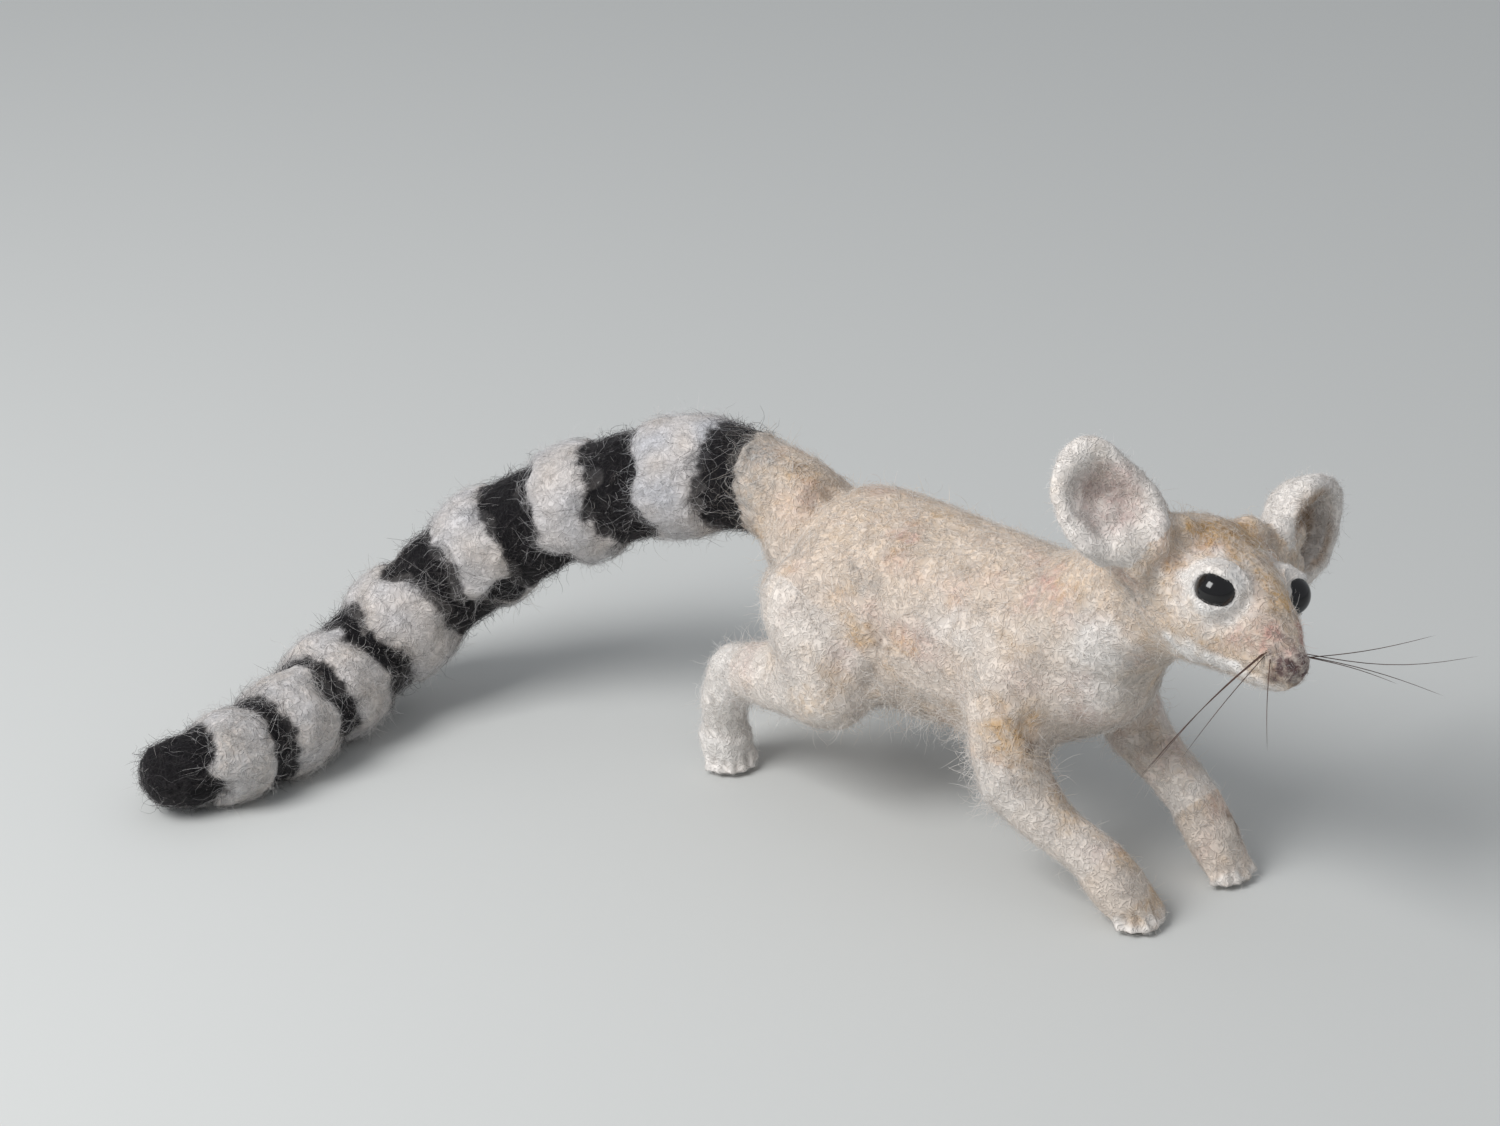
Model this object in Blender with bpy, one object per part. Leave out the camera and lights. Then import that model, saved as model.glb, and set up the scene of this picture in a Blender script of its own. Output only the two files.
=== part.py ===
"""A needle-felted wool figure of a ringtail, as it stands on four paws and its tail tip.

Lengths here are millimetres in the figure's own frame: +X is forward, +Y its left, +Z up, with the
floor at Z = 0. The last step turns them into metres and centres the figure over the origin.
"""

from math import cos, pi, radians, sin, sqrt

import bmesh
import bpy
from mathutils import Matrix, Vector

METRES = 0.001
GAP = 0.3  # left between touching pieces
FELT_CELL = 0.85  # size of the grid that blends the wool core's limbs into one form
FELT_ROUNDING = 7  # passes that round the blended joins
FLOOR_MARGIN = 0.6  # left under the soles until they are cut flat
CORE_TRIANGLES = 4600
LIMB_SIDES = 20
EAR_SIDES = 18
TAIL_SIDES = 18
BAND_STEPS = 3
DOME_ANGLES = (25, 50, 72)  # degrees round each domed end
TIP_FULLNESS = 0.8

# Each station of a limb is x, y, z, half the width, half the height.
TRUNK = (
    (13.0, 0.0, 30.2, 11.4, 11.2),
    (18.5, 0.0, 28.9, 13.4, 13.2),
    (26.0, 0.0, 28.0, 13.4, 14.0),
    (35.0, 0.0, 27.8, 12.6, 14.0),
    (44.0, 0.0, 28.2, 12.0, 13.6),
    (50.0, 0.0, 29.2, 11.0, 12.6),
    (55.5, 0.0, 30.6, 9.0, 10.6),
)
NECK = (
    (50.0, 0.0, 31.0, 10.0, 11.0),
    (56.0, 0.2, 35.2, 9.2, 9.6),
    (62.0, 0.8, 40.4, 8.6, 8.6),
    (66.5, 1.4, 43.6, 8.0, 8.0),
)
TAIL_ROOT = ((16.0, 0.0, 33.0, 6.6, 6.2), (8.0, 0.0, 36.6, 6.6, 6.4), (-2.0, -0.4, 37.2, 7.6, 7.6))
THIGH = ((17.0, 8.0, 28.0, 8.2, 7.0), (20.5, 9.6, 23.4, 8.2, 6.4), (22.6, 10.9, 19.4, 6.8, 5.8))
SHANK = ((22.0, 11.4, 18.6, 5.8, 5.8), (14.5, 11.0, 17.4, 4.9, 4.9), (6.8, 10.4, 15.6, 4.2, 4.2))
HIND_FOOT = (
    (5.8, 10.4, 15.4, 4.0, 4.0),
    (4.2, 10.2, 11.0, 3.7, 3.7),
    (3.6, 9.8, 6.6, 4.0, 4.0),
    (3.7, 9.5, 3.2, 4.1, 3.6),
)
UPPER_ARM = {
    "right": ((47.6, -7.6, 27.0, 6.2, 5.6), (49.0, -9.8, 20.6, 5.9, 5.2), (50.9, -10.9, 15.2, 5.2, 4.8)),
    "left": ((50.0, 7.4, 27.0, 6.0, 5.6), (52.6, 9.2, 20.4, 5.2, 4.8), (55.8, 9.2, 15.4, 4.5, 4.3)),
}
FOREARM = {
    "right": ((50.9, -10.9, 15.2, 5.0, 4.7), (56.4, -10.3, 10.9, 3.9, 3.7), (62.4, -9.3, 7.6, 3.8, 3.5)),
    "left": ((55.8, 9.2, 15.4, 4.3, 4.1), (60.6, 8.8, 12.3, 3.9, 3.8), (65.0, 8.5, 9.2, 3.8, 3.6)),
}
FORE_PAW = {
    "right": ((62.4, -9.3, 7.6, 3.8, 3.5), (65.2, -8.6, 4.8, 4.3, 3.8), (67.2, -8.0, 2.6, 4.2, 3.1)),
    "left": ((65.0, 8.5, 9.2, 3.8, 3.6), (68.0, 8.3, 5.2, 3.9, 3.7), (70.2, 8.1, 2.3, 3.8, 3.1)),
}
TOES = 4
TOE_RADIUS = 1.1

# The head's frame has its origin between the eyes. Its stations run forward along its own X.
HEAD_ORIGIN = (76.5, -0.4, 45.9)
HEAD_YAW = -15.2  # turned to its right
HEAD_NOD = -2.9  # nose a little up
HEAD_ROLL = 19.5  # left side down
SKULL = (
    (-13.0, 0.0, -2.6, 8.2, 8.0),
    (-9.5, 0.0, -2.3, 9.4, 9.2),
    (-5.0, 0.0, -2.7, 9.3, 8.7),
    (0.0, 0.0, -3.8, 8.1, 7.3),
    (3.4, 0.0, -4.8, 6.0, 5.9),
    (6.2, 0.0, -5.9, 4.6, 4.8),
    (7.8, 0.0, -6.4, 3.7, 3.9),
)
EAR_BASE = {
    "right": ((-8.0, -5.0, -1.0, 5.4, 5.4), (-13.0, -11.0, 2.6, 4.8, 4.8)),
    "left": ((-7.0, 5.0, -2.0, 5.4, 5.4), (-11.0, 13.4, 1.2, 4.8, 4.8)),
}
NOSE = (9.7, 0.0, -5.7)
NOSE_RADII = (1.7, 2.6, 2.0)
EYE = (0.4, 6.3, 0.0)  # the centre of the left bead
EYE_RADIUS = 2.5
EYE_OUT = (0.42, 0.88, 0.16)  # the way it looks
EYE_RING_RADII = (4.3, 4.1, 1.65)
EYE_RING_RISE = -0.5  # how far the ring's middle lies outside the bead's
# Each ear is its middle, the line from its root to its tip, and the way its hollow faces.
EARS = {
    "right": ((-11.2, -15.4, 6.8), (-3.0, -10.0, 12.0), (0.85, -0.45, 0.25)),
    "left": ((-9.2, 16.8, 5.6), (-2.0, 7.0, 10.0), (0.93, 0.32, 0.18)),
}
EAR_HALF_LENGTH = 7.4
EAR_HALF_WIDTH = 6.7
EAR_NARROWING = 0.2  # towards its root
# Share of the outline and depth behind the rim, from the hollow's middle over the rim to the back.
EAR_HOLLOW = ((0.0, 3.9), (0.34, 3.5), (0.6, 2.4), (0.8, 0.6))
EAR_RIM = ((0.88, -0.4), (0.96, -0.5))
EAR_BACK = ((1.0, 0.3), (0.98, 1.4), (0.88, 3.2), (0.64, 5.0), (0.34, 6.0), (0.0, 6.3))

# Each point of the tail's centre line is x, y, z, radius. It lies on the floor from its bend on.
TAIL = (
    (2.0, 0.0, 37.3, 7.5),
    (-5.0, -1.2, 36.8, 8.0),
    (-12.3, -3.9, 34.9, 8.0),
    (-19.0, -7.0, 32.0, 8.1),
    (-25.7, -10.5, 28.2, 8.1),
    (-31.3, -14.0, 24.1, 8.1),
    (-36.2, -17.7, 19.3, 8.0),
    (-39.9, -22.7, 14.1, 7.9),
    (-41.9, -28.7, 10.1, 7.8),
    (-42.2, -34.9, 7.8, 7.5),
    (-41.4, -41.0, 6.9, 7.1),
    (-40.7, -47.4, 6.5, 6.7),
    (-40.8, -53.8, 6.1, 6.3),
    (-42.6, -60.0, 5.7, 5.9),
    (-45.0, -64.6, 5.4, 5.5),
)
# Lengths of the bands along the tail, dark and light in turn, from the root to the dark tip.
BANDS = (7.0, 9.0, 7.2, 8.4, 7.5, 7.2, 8.5, 7.9, 6.0, 7.0, 3.8, 6.3, 3.6, 6.8, 5.6)
BAND_PUFF = 0.05  # how far a band swells past its edges, as a share of its radius

# The wool core is parted by thin slabs: each is a middle, the way it faces, its breadth and height.
MIDLINE_CUTS = {
    "tail_root": ((4.0, 0.0, 35.5), (-1.0, 0.0, 0.12), 19.0, 28.0),
    "waist": ((36.0, 0.0, 29.0), (1.0, 0.0, 0.0), 40.0, 44.0),
    "nape": ((55.0, 0.0, 36.0), (0.62, 0.0, 0.78), 32.0, 32.0),
    "throat": ((61.5, 2.0, 39.2), (0.62, -0.1, 0.78), 32.0, 30.0),
}
# These lie on the left side and are mirrored to the right.
PAIRED_CUTS = {
    "hip": ((20.0, 7.5, 20.0), (-0.2, 0.88, -0.43), 36.0, 36.0),
    "hock": ((8.0, 10.6, 16.4), (-0.98, 0.0, -0.2), 13.0, 12.0),
    "ankle": ((3.8, 9.9, 5.4), (0.0, 0.0, 1.0), 13.0, 13.0),
}
FORELEG_CUTS = {
    "right": {
        "shoulder": ((49.6, -10.0, 17.2), (0.08, -0.4, -0.92), 16.0, 16.0),
        "elbow": ((53.0, -10.8, 13.4), (0.78, 0.08, -0.6), 14.0, 14.0),
        "wrist": ((62.6, -9.3, 7.4), (0.78, 0.15, -0.6), 13.0, 13.0),
    },
    "left": {
        "shoulder": ((54.0, 9.0, 17.8), (0.08, 0.4, -0.92), 15.0, 15.0),
        "elbow": ((57.6, 9.0, 14.2), (0.78, -0.08, -0.6), 13.0, 13.0),
        "wrist": ((65.4, 8.5, 8.8), (0.74, -0.05, -0.66), 12.0, 12.0),
    },
}
# Where each piece of the parted core lies.
CORE_PIECES = {
    "tail_root": (1.5, 0.0, 37.0),
    "haunches": (23.0, 0.0, 29.0),
    "chest": (47.0, 0.0, 28.0),
    "neck": (58.5, 0.5, 37.5),
    "head": (74.0, 0.0, 43.0),
    "thigh_right": (18.0, -11.5, 22.0),
    "thigh_left": (18.0, 11.5, 22.0),
    "hock_right": (4.6, -10.3, 11.5),
    "hock_left": (4.6, 10.3, 11.5),
    "hind_paw_right": (4.2, -9.6, 2.7),
    "hind_paw_left": (4.2, 9.6, 2.7),
    "upper_arm_right": (50.0, -10.2, 17.0),
    "upper_arm_left": (54.5, 9.2, 17.0),
    "forearm_right": (58.0, -10.0, 10.3),
    "forearm_left": (61.5, 8.8, 11.6),
    "fore_paw_right": (66.4, -8.4, 4.0),
    "fore_paw_left": (69.0, 8.2, 4.4),
}

WOOL = {
    "cream_wool": ((0.62, 0.50, 0.37), 0.95),
    "white_wool": ((0.80, 0.77, 0.74), 0.95),
    "black_wool": ((0.018, 0.016, 0.018), 0.95),
    "pink_wool": ((0.30, 0.20, 0.18), 0.9),
    "black_glass": ((0.006, 0.005, 0.006), 0.08),
}
PALE_PIECES = ("hind_paw_right", "hind_paw_left", "fore_paw_right", "fore_paw_left")


def clear_scene():
    for obj in list(bpy.data.objects):
        bpy.data.objects.remove(obj)


def material(name):
    """The Principled material of one kind of wool or glass."""
    made = bpy.data.materials.get(name)
    if made is None:
        colour, roughness = WOOL[name]
        made = bpy.data.materials.new(name)
        made.use_nodes = True
        shader = made.node_tree.nodes["Principled BSDF"]
        shader.inputs["Base Color"].default_value = (*colour, 1.0)
        shader.inputs["Roughness"].default_value = roughness
        shader.inputs["Metallic"].default_value = 0.0
    return made


def add_object(name, bm, wool=None):
    """A scene object from a bmesh, with every face pointing out."""
    bmesh.ops.recalc_face_normals(bm, faces=bm.faces)
    mesh = bpy.data.meshes.new(name)
    bm.to_mesh(mesh)
    bm.free()
    obj = bpy.data.objects.new(name, mesh)
    bpy.context.scene.collection.objects.link(obj)
    if wool:
        mesh.materials.append(material(wool))
    return obj


def apply_modifiers(obj):
    """Replaces an object's mesh with what its modifiers make of it."""
    graph = bpy.context.evaluated_depsgraph_get()
    mesh = bpy.data.meshes.new_from_object(obj.evaluated_get(graph))
    obj.modifiers.clear()
    obj.data = mesh


def subtract(obj, cutter):
    """Cuts a second object out of the first and removes it."""
    cut = obj.modifiers.new("cut", "BOOLEAN")
    cut.object = cutter
    cut.operation = "DIFFERENCE"
    apply_modifiers(obj)
    bpy.data.objects.remove(cutter)


def trim(obj, point, normal):
    """Takes away what lies beyond a plane and closes the cut with a flat face."""
    bm = bmesh.new()
    bm.from_mesh(obj.data)
    whole = bm.verts[:] + bm.edges[:] + bm.faces[:]
    bmesh.ops.bisect_plane(bm, geom=whole, plane_co=point, plane_no=normal, clear_outer=True)
    bmesh.ops.holes_fill(bm, edges=[edge for edge in bm.edges if edge.is_boundary], sides=0)
    bmesh.ops.recalc_face_normals(bm, faces=bm.faces)
    bm.to_mesh(obj.data)
    bm.free()


def axes_from(forward, hint):
    """A turn whose Z is forward and whose X lies as near to hint as it can."""
    z = Vector(forward).normalized()
    x = (Vector(hint) - z * z.dot(Vector(hint))).normalized()
    return Matrix((x, z.cross(x), z)).transposed()


def mirrored(stations):
    return tuple((x, -y, *rest) for x, y, *rest in stations)


def smooth_path(stations, steps):
    """Stations along a Catmull-Rom curve through the given ones."""
    rows = [Vector(row) for row in stations]
    rows = [2 * rows[0] - rows[1]] + rows + [2 * rows[-1] - rows[-2]]
    path = []
    for a, b, c, d in zip(rows, rows[1:], rows[2:], rows[3:]):
        for step in range(steps):
            t = step / steps
            straight = 2 * b + (c - a) * t
            bend = (2 * a - 5 * b + 4 * c - d) * t**2 + (3 * b - a - 3 * c + d) * t**3
            path.append(0.5 * (straight + bend))
    return path + [rows[-2]]


def sections(path, up, frame=Matrix()):
    """The middle, direction and two half-axes of each section along a path."""
    middles = [frame @ Vector(row[:3]) for row in path]
    up = frame.to_3x3() @ Vector(up)
    made = []
    for k, row in enumerate(path):
        along = (middles[min(k + 1, len(path) - 1)] - middles[max(k - 1, 0)]).normalized()
        side = along.cross(up).normalized()
        made.append((middles[k], along, side * row[3], side.cross(along) * row[4]))
    return made


def dome(section, sense, fullness):
    """The sections of a rounded end beyond the last one."""
    middle, along, side, rise = section
    reach = sqrt(side.length * rise.length) * sense * fullness
    angles = [radians(angle) for angle in DOME_ANGLES]
    return [(middle + along * reach * sin(a), along, side * cos(a), rise * cos(a)) for a in angles]


def skin_sections(bm, rows, sides, tips=(None, None)):
    """Joins sections into one closed body, with a flat end wherever there is no tip."""
    rings = []
    for middle, _, side, rise in rows:
        turn = [2 * pi * k / sides for k in range(sides)]
        rings.append([bm.verts.new(middle + side * cos(a) + rise * sin(a)) for a in turn])
    join_rings(bm, rings, tips)


def join_rings(bm, rings, tips):
    count = len(rings[0])
    for first, second in zip(rings, rings[1:]):
        for k in range(count):
            after = (k + 1) % count
            bm.faces.new((first[k], first[after], second[after], second[k]))
    for ring, tip in ((rings[0], tips[0]), (rings[-1], tips[1])):
        if tip is None:
            bm.faces.new(ring)
            continue
        pole = bm.verts.new(tip)
        for k in range(count):
            bm.faces.new((ring[k], ring[(k + 1) % count], pole))


def add_limb(bm, stations, up=(0, 0, 1), frame=Matrix(), fullness=(1.0, 1.0)):
    """A body swept along its stations, with rounded ends."""
    rows = sections(smooth_path(stations, 4), up, frame)
    start, end = rows[0], rows[-1]
    rows = dome(start, -1, fullness[0])[::-1] + rows + dome(end, 1, fullness[1])
    tips = (
        start[0] - start[1] * start[2].length * fullness[0],
        end[0] + end[1] * end[2].length * fullness[1],
    )
    skin_sections(bm, rows, LIMB_SIDES, tips)


def add_ball(bm, middle, radii, turn=Matrix(), segments=20, rows=12):
    """An ellipsoid whose radii lie along the axes of turn."""
    size = Matrix.Diagonal((*radii, 1.0))
    place = Matrix.Translation(middle) @ turn.to_4x4() @ size
    bmesh.ops.create_uvsphere(bm, u_segments=segments, v_segments=rows, radius=1.0, matrix=place)


def add_toes(bm, stations):
    """A row of toe tips across the front of a paw, just above the floor."""
    last, before = Vector(stations[-1][:3]), Vector(stations[0][:3])
    ahead = Vector((last.x - before.x, last.y - before.y, 0.0))
    ahead = ahead.normalized() if ahead.x > 1 else Vector((1.0, 0.0, 0.0))
    across = Vector((-ahead.y, ahead.x, 0.0))
    turn = Matrix((ahead, across, Vector((0, 0, 1)))).transposed()
    half = stations[-1][3]
    for k in range(TOES):
        share = (2 * k + 1) / TOES - 1
        middle = last + across * share * half * 0.9 + ahead * half * sqrt(1 - 0.6 * share**2) * 0.8
        middle.z = TOE_RADIUS + 0.1
        add_ball(bm, middle, (TOE_RADIUS * 1.5, TOE_RADIUS, TOE_RADIUS), turn, 10, 6)


def head_frame():
    """Where the head's own frame stands in the figure's."""
    yaw, nod, roll = radians(HEAD_YAW), radians(HEAD_NOD), radians(HEAD_ROLL)
    forward = Vector((cos(nod) * cos(yaw), cos(nod) * sin(yaw), -sin(nod)))
    level = Vector((-sin(yaw), cos(yaw), 0.0))
    upright = forward.cross(level)
    left = level * cos(roll) - upright * sin(roll)
    crown = upright * cos(roll) + level * sin(roll)
    turn = Matrix((forward, left, crown)).transposed().to_4x4()
    return Matrix.Translation(HEAD_ORIGIN) @ turn


def wool_core(frame):
    """The trunk, neck, skull, legs and tail root, blended into one form as felted wool is."""
    bm = bmesh.new()
    add_limb(bm, TRUNK, fullness=(0.72, 0.85))
    add_limb(bm, NECK)
    add_limb(bm, TAIL_ROOT)
    add_limb(bm, SKULL, frame=frame, fullness=(0.7, 0.95))
    for turned in (tuple, mirrored):
        add_limb(bm, turned(THIGH), up=(1, 0, 0))
        add_limb(bm, turned(SHANK))
        add_limb(bm, turned(HIND_FOOT), up=(1, 0, 0))
        add_toes(bm, turned(HIND_FOOT))
    for side in ("right", "left"):
        add_limb(bm, EAR_BASE[side], up=(1, 0, 0), frame=frame, fullness=(1.0, 0.7))
        add_limb(bm, UPPER_ARM[side], up=(1, 0, 1))
        add_limb(bm, FOREARM[side], up=(1, 0, 1))
        add_limb(bm, FORE_PAW[side], up=(1, 0, 1))
        add_toes(bm, FORE_PAW[side])
    core = add_object("core", bm)
    blend = core.modifiers.new("blend", "REMESH")
    blend.mode = "VOXEL"
    blend.voxel_size = FELT_CELL
    rounding = core.modifiers.new("round", "SMOOTH")
    rounding.iterations = FELT_ROUNDING
    rounding.factor = 0.5
    apply_modifiers(core)
    trim(core, (0, 0, -FLOOR_MARGIN), (0, 0, -1))
    core.modifiers.new("triangles", "TRIANGULATE")
    apply_modifiers(core)
    return core


def ear_shell(frame, side, extra=0.0):
    """A cupped ear with a thick rim. Extra grows it on every side and fills its cup, to cut its seat."""
    middle, length, opening = (Vector(part) for part in EARS[side])
    turn = axes_from(opening, length)
    hollow = ((0.0, EAR_RIM[0][1]),) if extra else EAR_HOLLOW
    profile = [(share, -depth, 0.0, extra) for share, depth in hollow]
    profile += [(share, -depth, extra, extra) for share, depth in EAR_RIM]
    profile += [(share, -depth, extra, -extra) for share, depth in EAR_BACK]
    bm = bmesh.new()
    rings, poles = [], []
    for share, level, wider, higher in profile:
        if not share:
            poles.append(frame @ (middle + turn @ Vector((0, 0, level + higher))))
            continue
        ring = []
        for k in range(EAR_SIDES):
            angle = 2 * pi * k / EAR_SIDES
            narrow = 1 + EAR_NARROWING * (cos(angle) - 1) / 2
            long = cos(angle) * (EAR_HALF_LENGTH * share + wider)
            wide = sin(angle) * (EAR_HALF_WIDTH * share + wider) * narrow
            ring.append(bm.verts.new(frame @ (middle + turn @ Vector((long, wide, level + higher)))))
        rings.append(ring)
    join_rings(bm, rings, poles)
    return bm


def eye_parts(frame, side):
    """The middle of an eye bead and the turn whose Z is the way it looks."""
    flip = Vector((1, 1 if side == "left" else -1, 1))
    out = (Vector(EYE_OUT) * flip).normalized()
    return frame @ (Vector(EYE) * flip), frame.to_3x3() @ axes_from(out, (1, 0, 0))


def eye_bead(frame, side, extra=0.0):
    middle, turn = eye_parts(frame, side)
    bm = bmesh.new()
    add_ball(bm, middle, [EYE_RADIUS + extra] * 3, turn, 14, 8)
    return bm


def eye_ring(frame, side, extra=0.0):
    """The padded disc that an eye bead sits in."""
    middle, turn = eye_parts(frame, side)
    bm = bmesh.new()
    middle += turn @ Vector((0, 0, EYE_RING_RISE))
    add_ball(bm, middle, [radius + extra for radius in EYE_RING_RADII], turn, 18, 8)
    return bm


def nose_pad(frame, extra=0.0):
    bm = bmesh.new()
    add_ball(bm, frame @ Vector(NOSE), [radius + extra for radius in NOSE_RADII], frame.to_3x3(), 12, 8)
    return bm


def add_face(frame, head):
    """The ears, eye rings, eye beads and nose, each in a seat cut into the head."""
    for side in ("right", "left"):
        for shape, name, wool in (
            (ear_shell, f"ear_{side}", "white_wool"),
            (eye_ring, f"eye_ring_{side}", "white_wool"),
            (eye_bead, f"eye_{side}", "black_glass"),
        ):
            add_object(name, shape(frame, side), wool)
            subtract(head, add_object("seat", shape(frame, side, GAP)))
        ring = bpy.data.objects[f"eye_ring_{side}"]
        subtract(ring, add_object("seat", eye_bead(frame, side, GAP)))
    add_object("nose", nose_pad(frame), "pink_wool")
    subtract(head, add_object("seat", nose_pad(frame, GAP)))


def slab(middle, facing, breadth, height):
    """A box as thin as a gap, which parts what it crosses."""
    bm = bmesh.new()
    upright = abs(Vector(facing).normalized().z) < 0.9
    turn = axes_from(facing, (0, 0, 1) if upright else (1, 0, 0))
    size = Matrix.Diagonal((height, breadth, GAP, 1.0))
    bmesh.ops.create_cube(bm, size=1.0, matrix=Matrix.Translation(middle) @ turn.to_4x4() @ size)
    return add_object("slab", bm)


def core_cuts():
    """Every cut through the core, on both sides."""
    cuts = list(MIDLINE_CUTS.values())
    for middle, facing, *size in PAIRED_CUTS.values():
        cuts.append((middle, facing, *size))
        cuts.append((*mirrored((middle, facing)), *size))
    for cuts_of_leg in FORELEG_CUTS.values():
        cuts += cuts_of_leg.values()
    return cuts


def islands(bm):
    """The lists of vertices that hang together."""
    seen, found = set(), []
    for first in bm.verts:
        if first in seen:
            continue
        seen.add(first)
        group = [first]
        for vert in group:
            fresh = [edge.other_vert(vert) for edge in vert.link_edges]
            fresh = [other for other in fresh if other not in seen]
            seen.update(fresh)
            group += fresh
        found.append(group)
    return found


def part_core(core):
    """Parts the blended core with thin cuts, and names each piece by the place it lies nearest."""
    for cut in core_cuts():
        subtract(core, slab(*cut))
    bm = bmesh.new()
    bm.from_mesh(core.data)
    bpy.data.objects.remove(core)
    triangles = sum(len(face.verts) - 2 for face in bm.faces)
    groups = [[vert.index for vert in group] for group in islands(bm)]
    for group in groups:
        piece = bm.copy()
        piece.verts.ensure_lookup_table()
        kept = {piece.verts[index] for index in group}
        bmesh.ops.delete(piece, geom=[vert for vert in piece.verts if vert not in kept], context="VERTS")
        middle = sum((vert.co for vert in piece.verts), Vector()) / len(piece.verts)
        name = min(CORE_PIECES, key=lambda key: (Vector(CORE_PIECES[key]) - middle).length)
        obj = add_object(name, piece, "white_wool" if name in PALE_PIECES else "cream_wool")
        fewer = obj.modifiers.new("fewer", "DECIMATE")
        fewer.ratio = CORE_TRIANGLES / triangles
        apply_modifiers(obj)
        if min(vert.co.z for vert in obj.data.vertices) < 0:
            trim(obj, (0, 0, 0), (0, 0, -1))
    bm.free()


def add_tail():
    """The tail's bands, each a separate length of wool along one curve."""
    path = smooth_path(TAIL, 8)
    reach = [0.0]
    for a, b in zip(path, path[1:]):
        reach.append(reach[-1] + (b - a).xyz.length)
    stretch = reach[-1] / sum(BANDS)

    def station(distance):
        k = min(sum(1 for r in reach if r <= distance), len(path) - 1) - 1
        return path[k].lerp(path[k + 1], (distance - reach[k]) / (reach[k + 1] - reach[k]))

    start = 0.0
    for number, length in enumerate(BANDS):
        end = start + length * stretch
        is_tip = number == len(BANDS) - 1
        first, last = start + GAP / 2, end - (0 if is_tip else GAP / 2)
        rows = []
        for step in range(BAND_STEPS + 1):
            t = step / BAND_STEPS
            distance = first + (last - first) * t
            row = station(distance)
            ahead = station(min(distance + 1, reach[-1])) - station(max(distance - 1, 0.0))
            ahead = ahead.xyz.normalized()
            side = ahead.cross((0, 0, 1)).normalized() * row[3] * (1 + BAND_PUFF * (sin(pi * t) - 0.5))
            rows.append((row.xyz, ahead, side, side.cross(ahead)))
        tip = None
        if is_tip:
            tip = rows[-1][0] + rows[-1][1] * rows[-1][2].length * TIP_FULLNESS
            rows += dome(rows[-1], 1, TIP_FULLNESS)
        bm = bmesh.new()
        skin_sections(bm, rows, TAIL_SIDES, (None, tip))
        lowest = min(vert.co.z for vert in bm.verts)
        shade = ("black", "white")[number % 2]
        name = "tail_tip" if is_tip else f"tail_{shade}_{number // 2 + 1}"
        band = add_object(name, bm, f"{shade}_wool")
        if lowest < 0:
            trim(band, (0, 0, 0), (0, 0, -1))
        start = end


def place_pieces():
    """Turns the lengths into metres and centres the figure over the origin, on its floor."""
    pieces = [obj for obj in bpy.context.scene.objects if obj.type == "MESH"]
    figure = bpy.data.objects.new("ringtail_figure", None)
    bpy.context.scene.collection.objects.link(figure)
    corners = [vert.co for piece in pieces for vert in piece.data.vertices]
    lows = [min(corner[axis] for corner in corners) for axis in range(3)]
    highs = [max(corner[axis] for corner in corners) for axis in range(3)]
    shift = Vector(((lows[0] + highs[0]) / 2, (lows[1] + highs[1]) / 2, 0.0))
    for piece in pieces:
        points = [vert.co.copy() for vert in piece.data.vertices]
        middle = sum(points, Vector()) / len(points)
        piece.data.transform(Matrix.Diagonal((METRES, METRES, METRES, 1)) @ Matrix.Translation(-middle))
        piece.data.shade_smooth()
        piece.data.set_sharp_from_angle(angle=radians(50))
        piece.location = (middle - shift) * METRES
        piece.parent = figure


def main():
    clear_scene()
    frame = head_frame()
    part_core(wool_core(frame))
    tail_root = bpy.data.objects["tail_root"]
    ahead = Vector(TAIL[1][:3]) - Vector(TAIL[0][:3])
    trim(tail_root, Vector(TAIL[0][:3]) - ahead.normalized() * GAP / 2, ahead)
    add_face(frame, bpy.data.objects["head"])
    add_tail()
    place_pieces()


main()
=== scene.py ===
# %% [markdown]
# # A needle-felted ringtail
# The real figure is carded sheep's wool, stabbed with a barbed needle until its fibres locked into one
# firm, matted body, with two glass beads for eyes. Nothing on it is sewn or hinged. This lesson dresses
# a solid model of it as the maker built it: a firm core, a short nap that lies on the core, and loose
# hairs that stand out. The model comes first, because all sizes and places are measured from its pieces.

# %% Load the solid model and keep its box
from math import cos, pi, radians, sin

import bmesh
import bpy
import numpy as np
from mathutils import Matrix, Vector, noise
from mathutils.bvhtree import BVHTree


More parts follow.
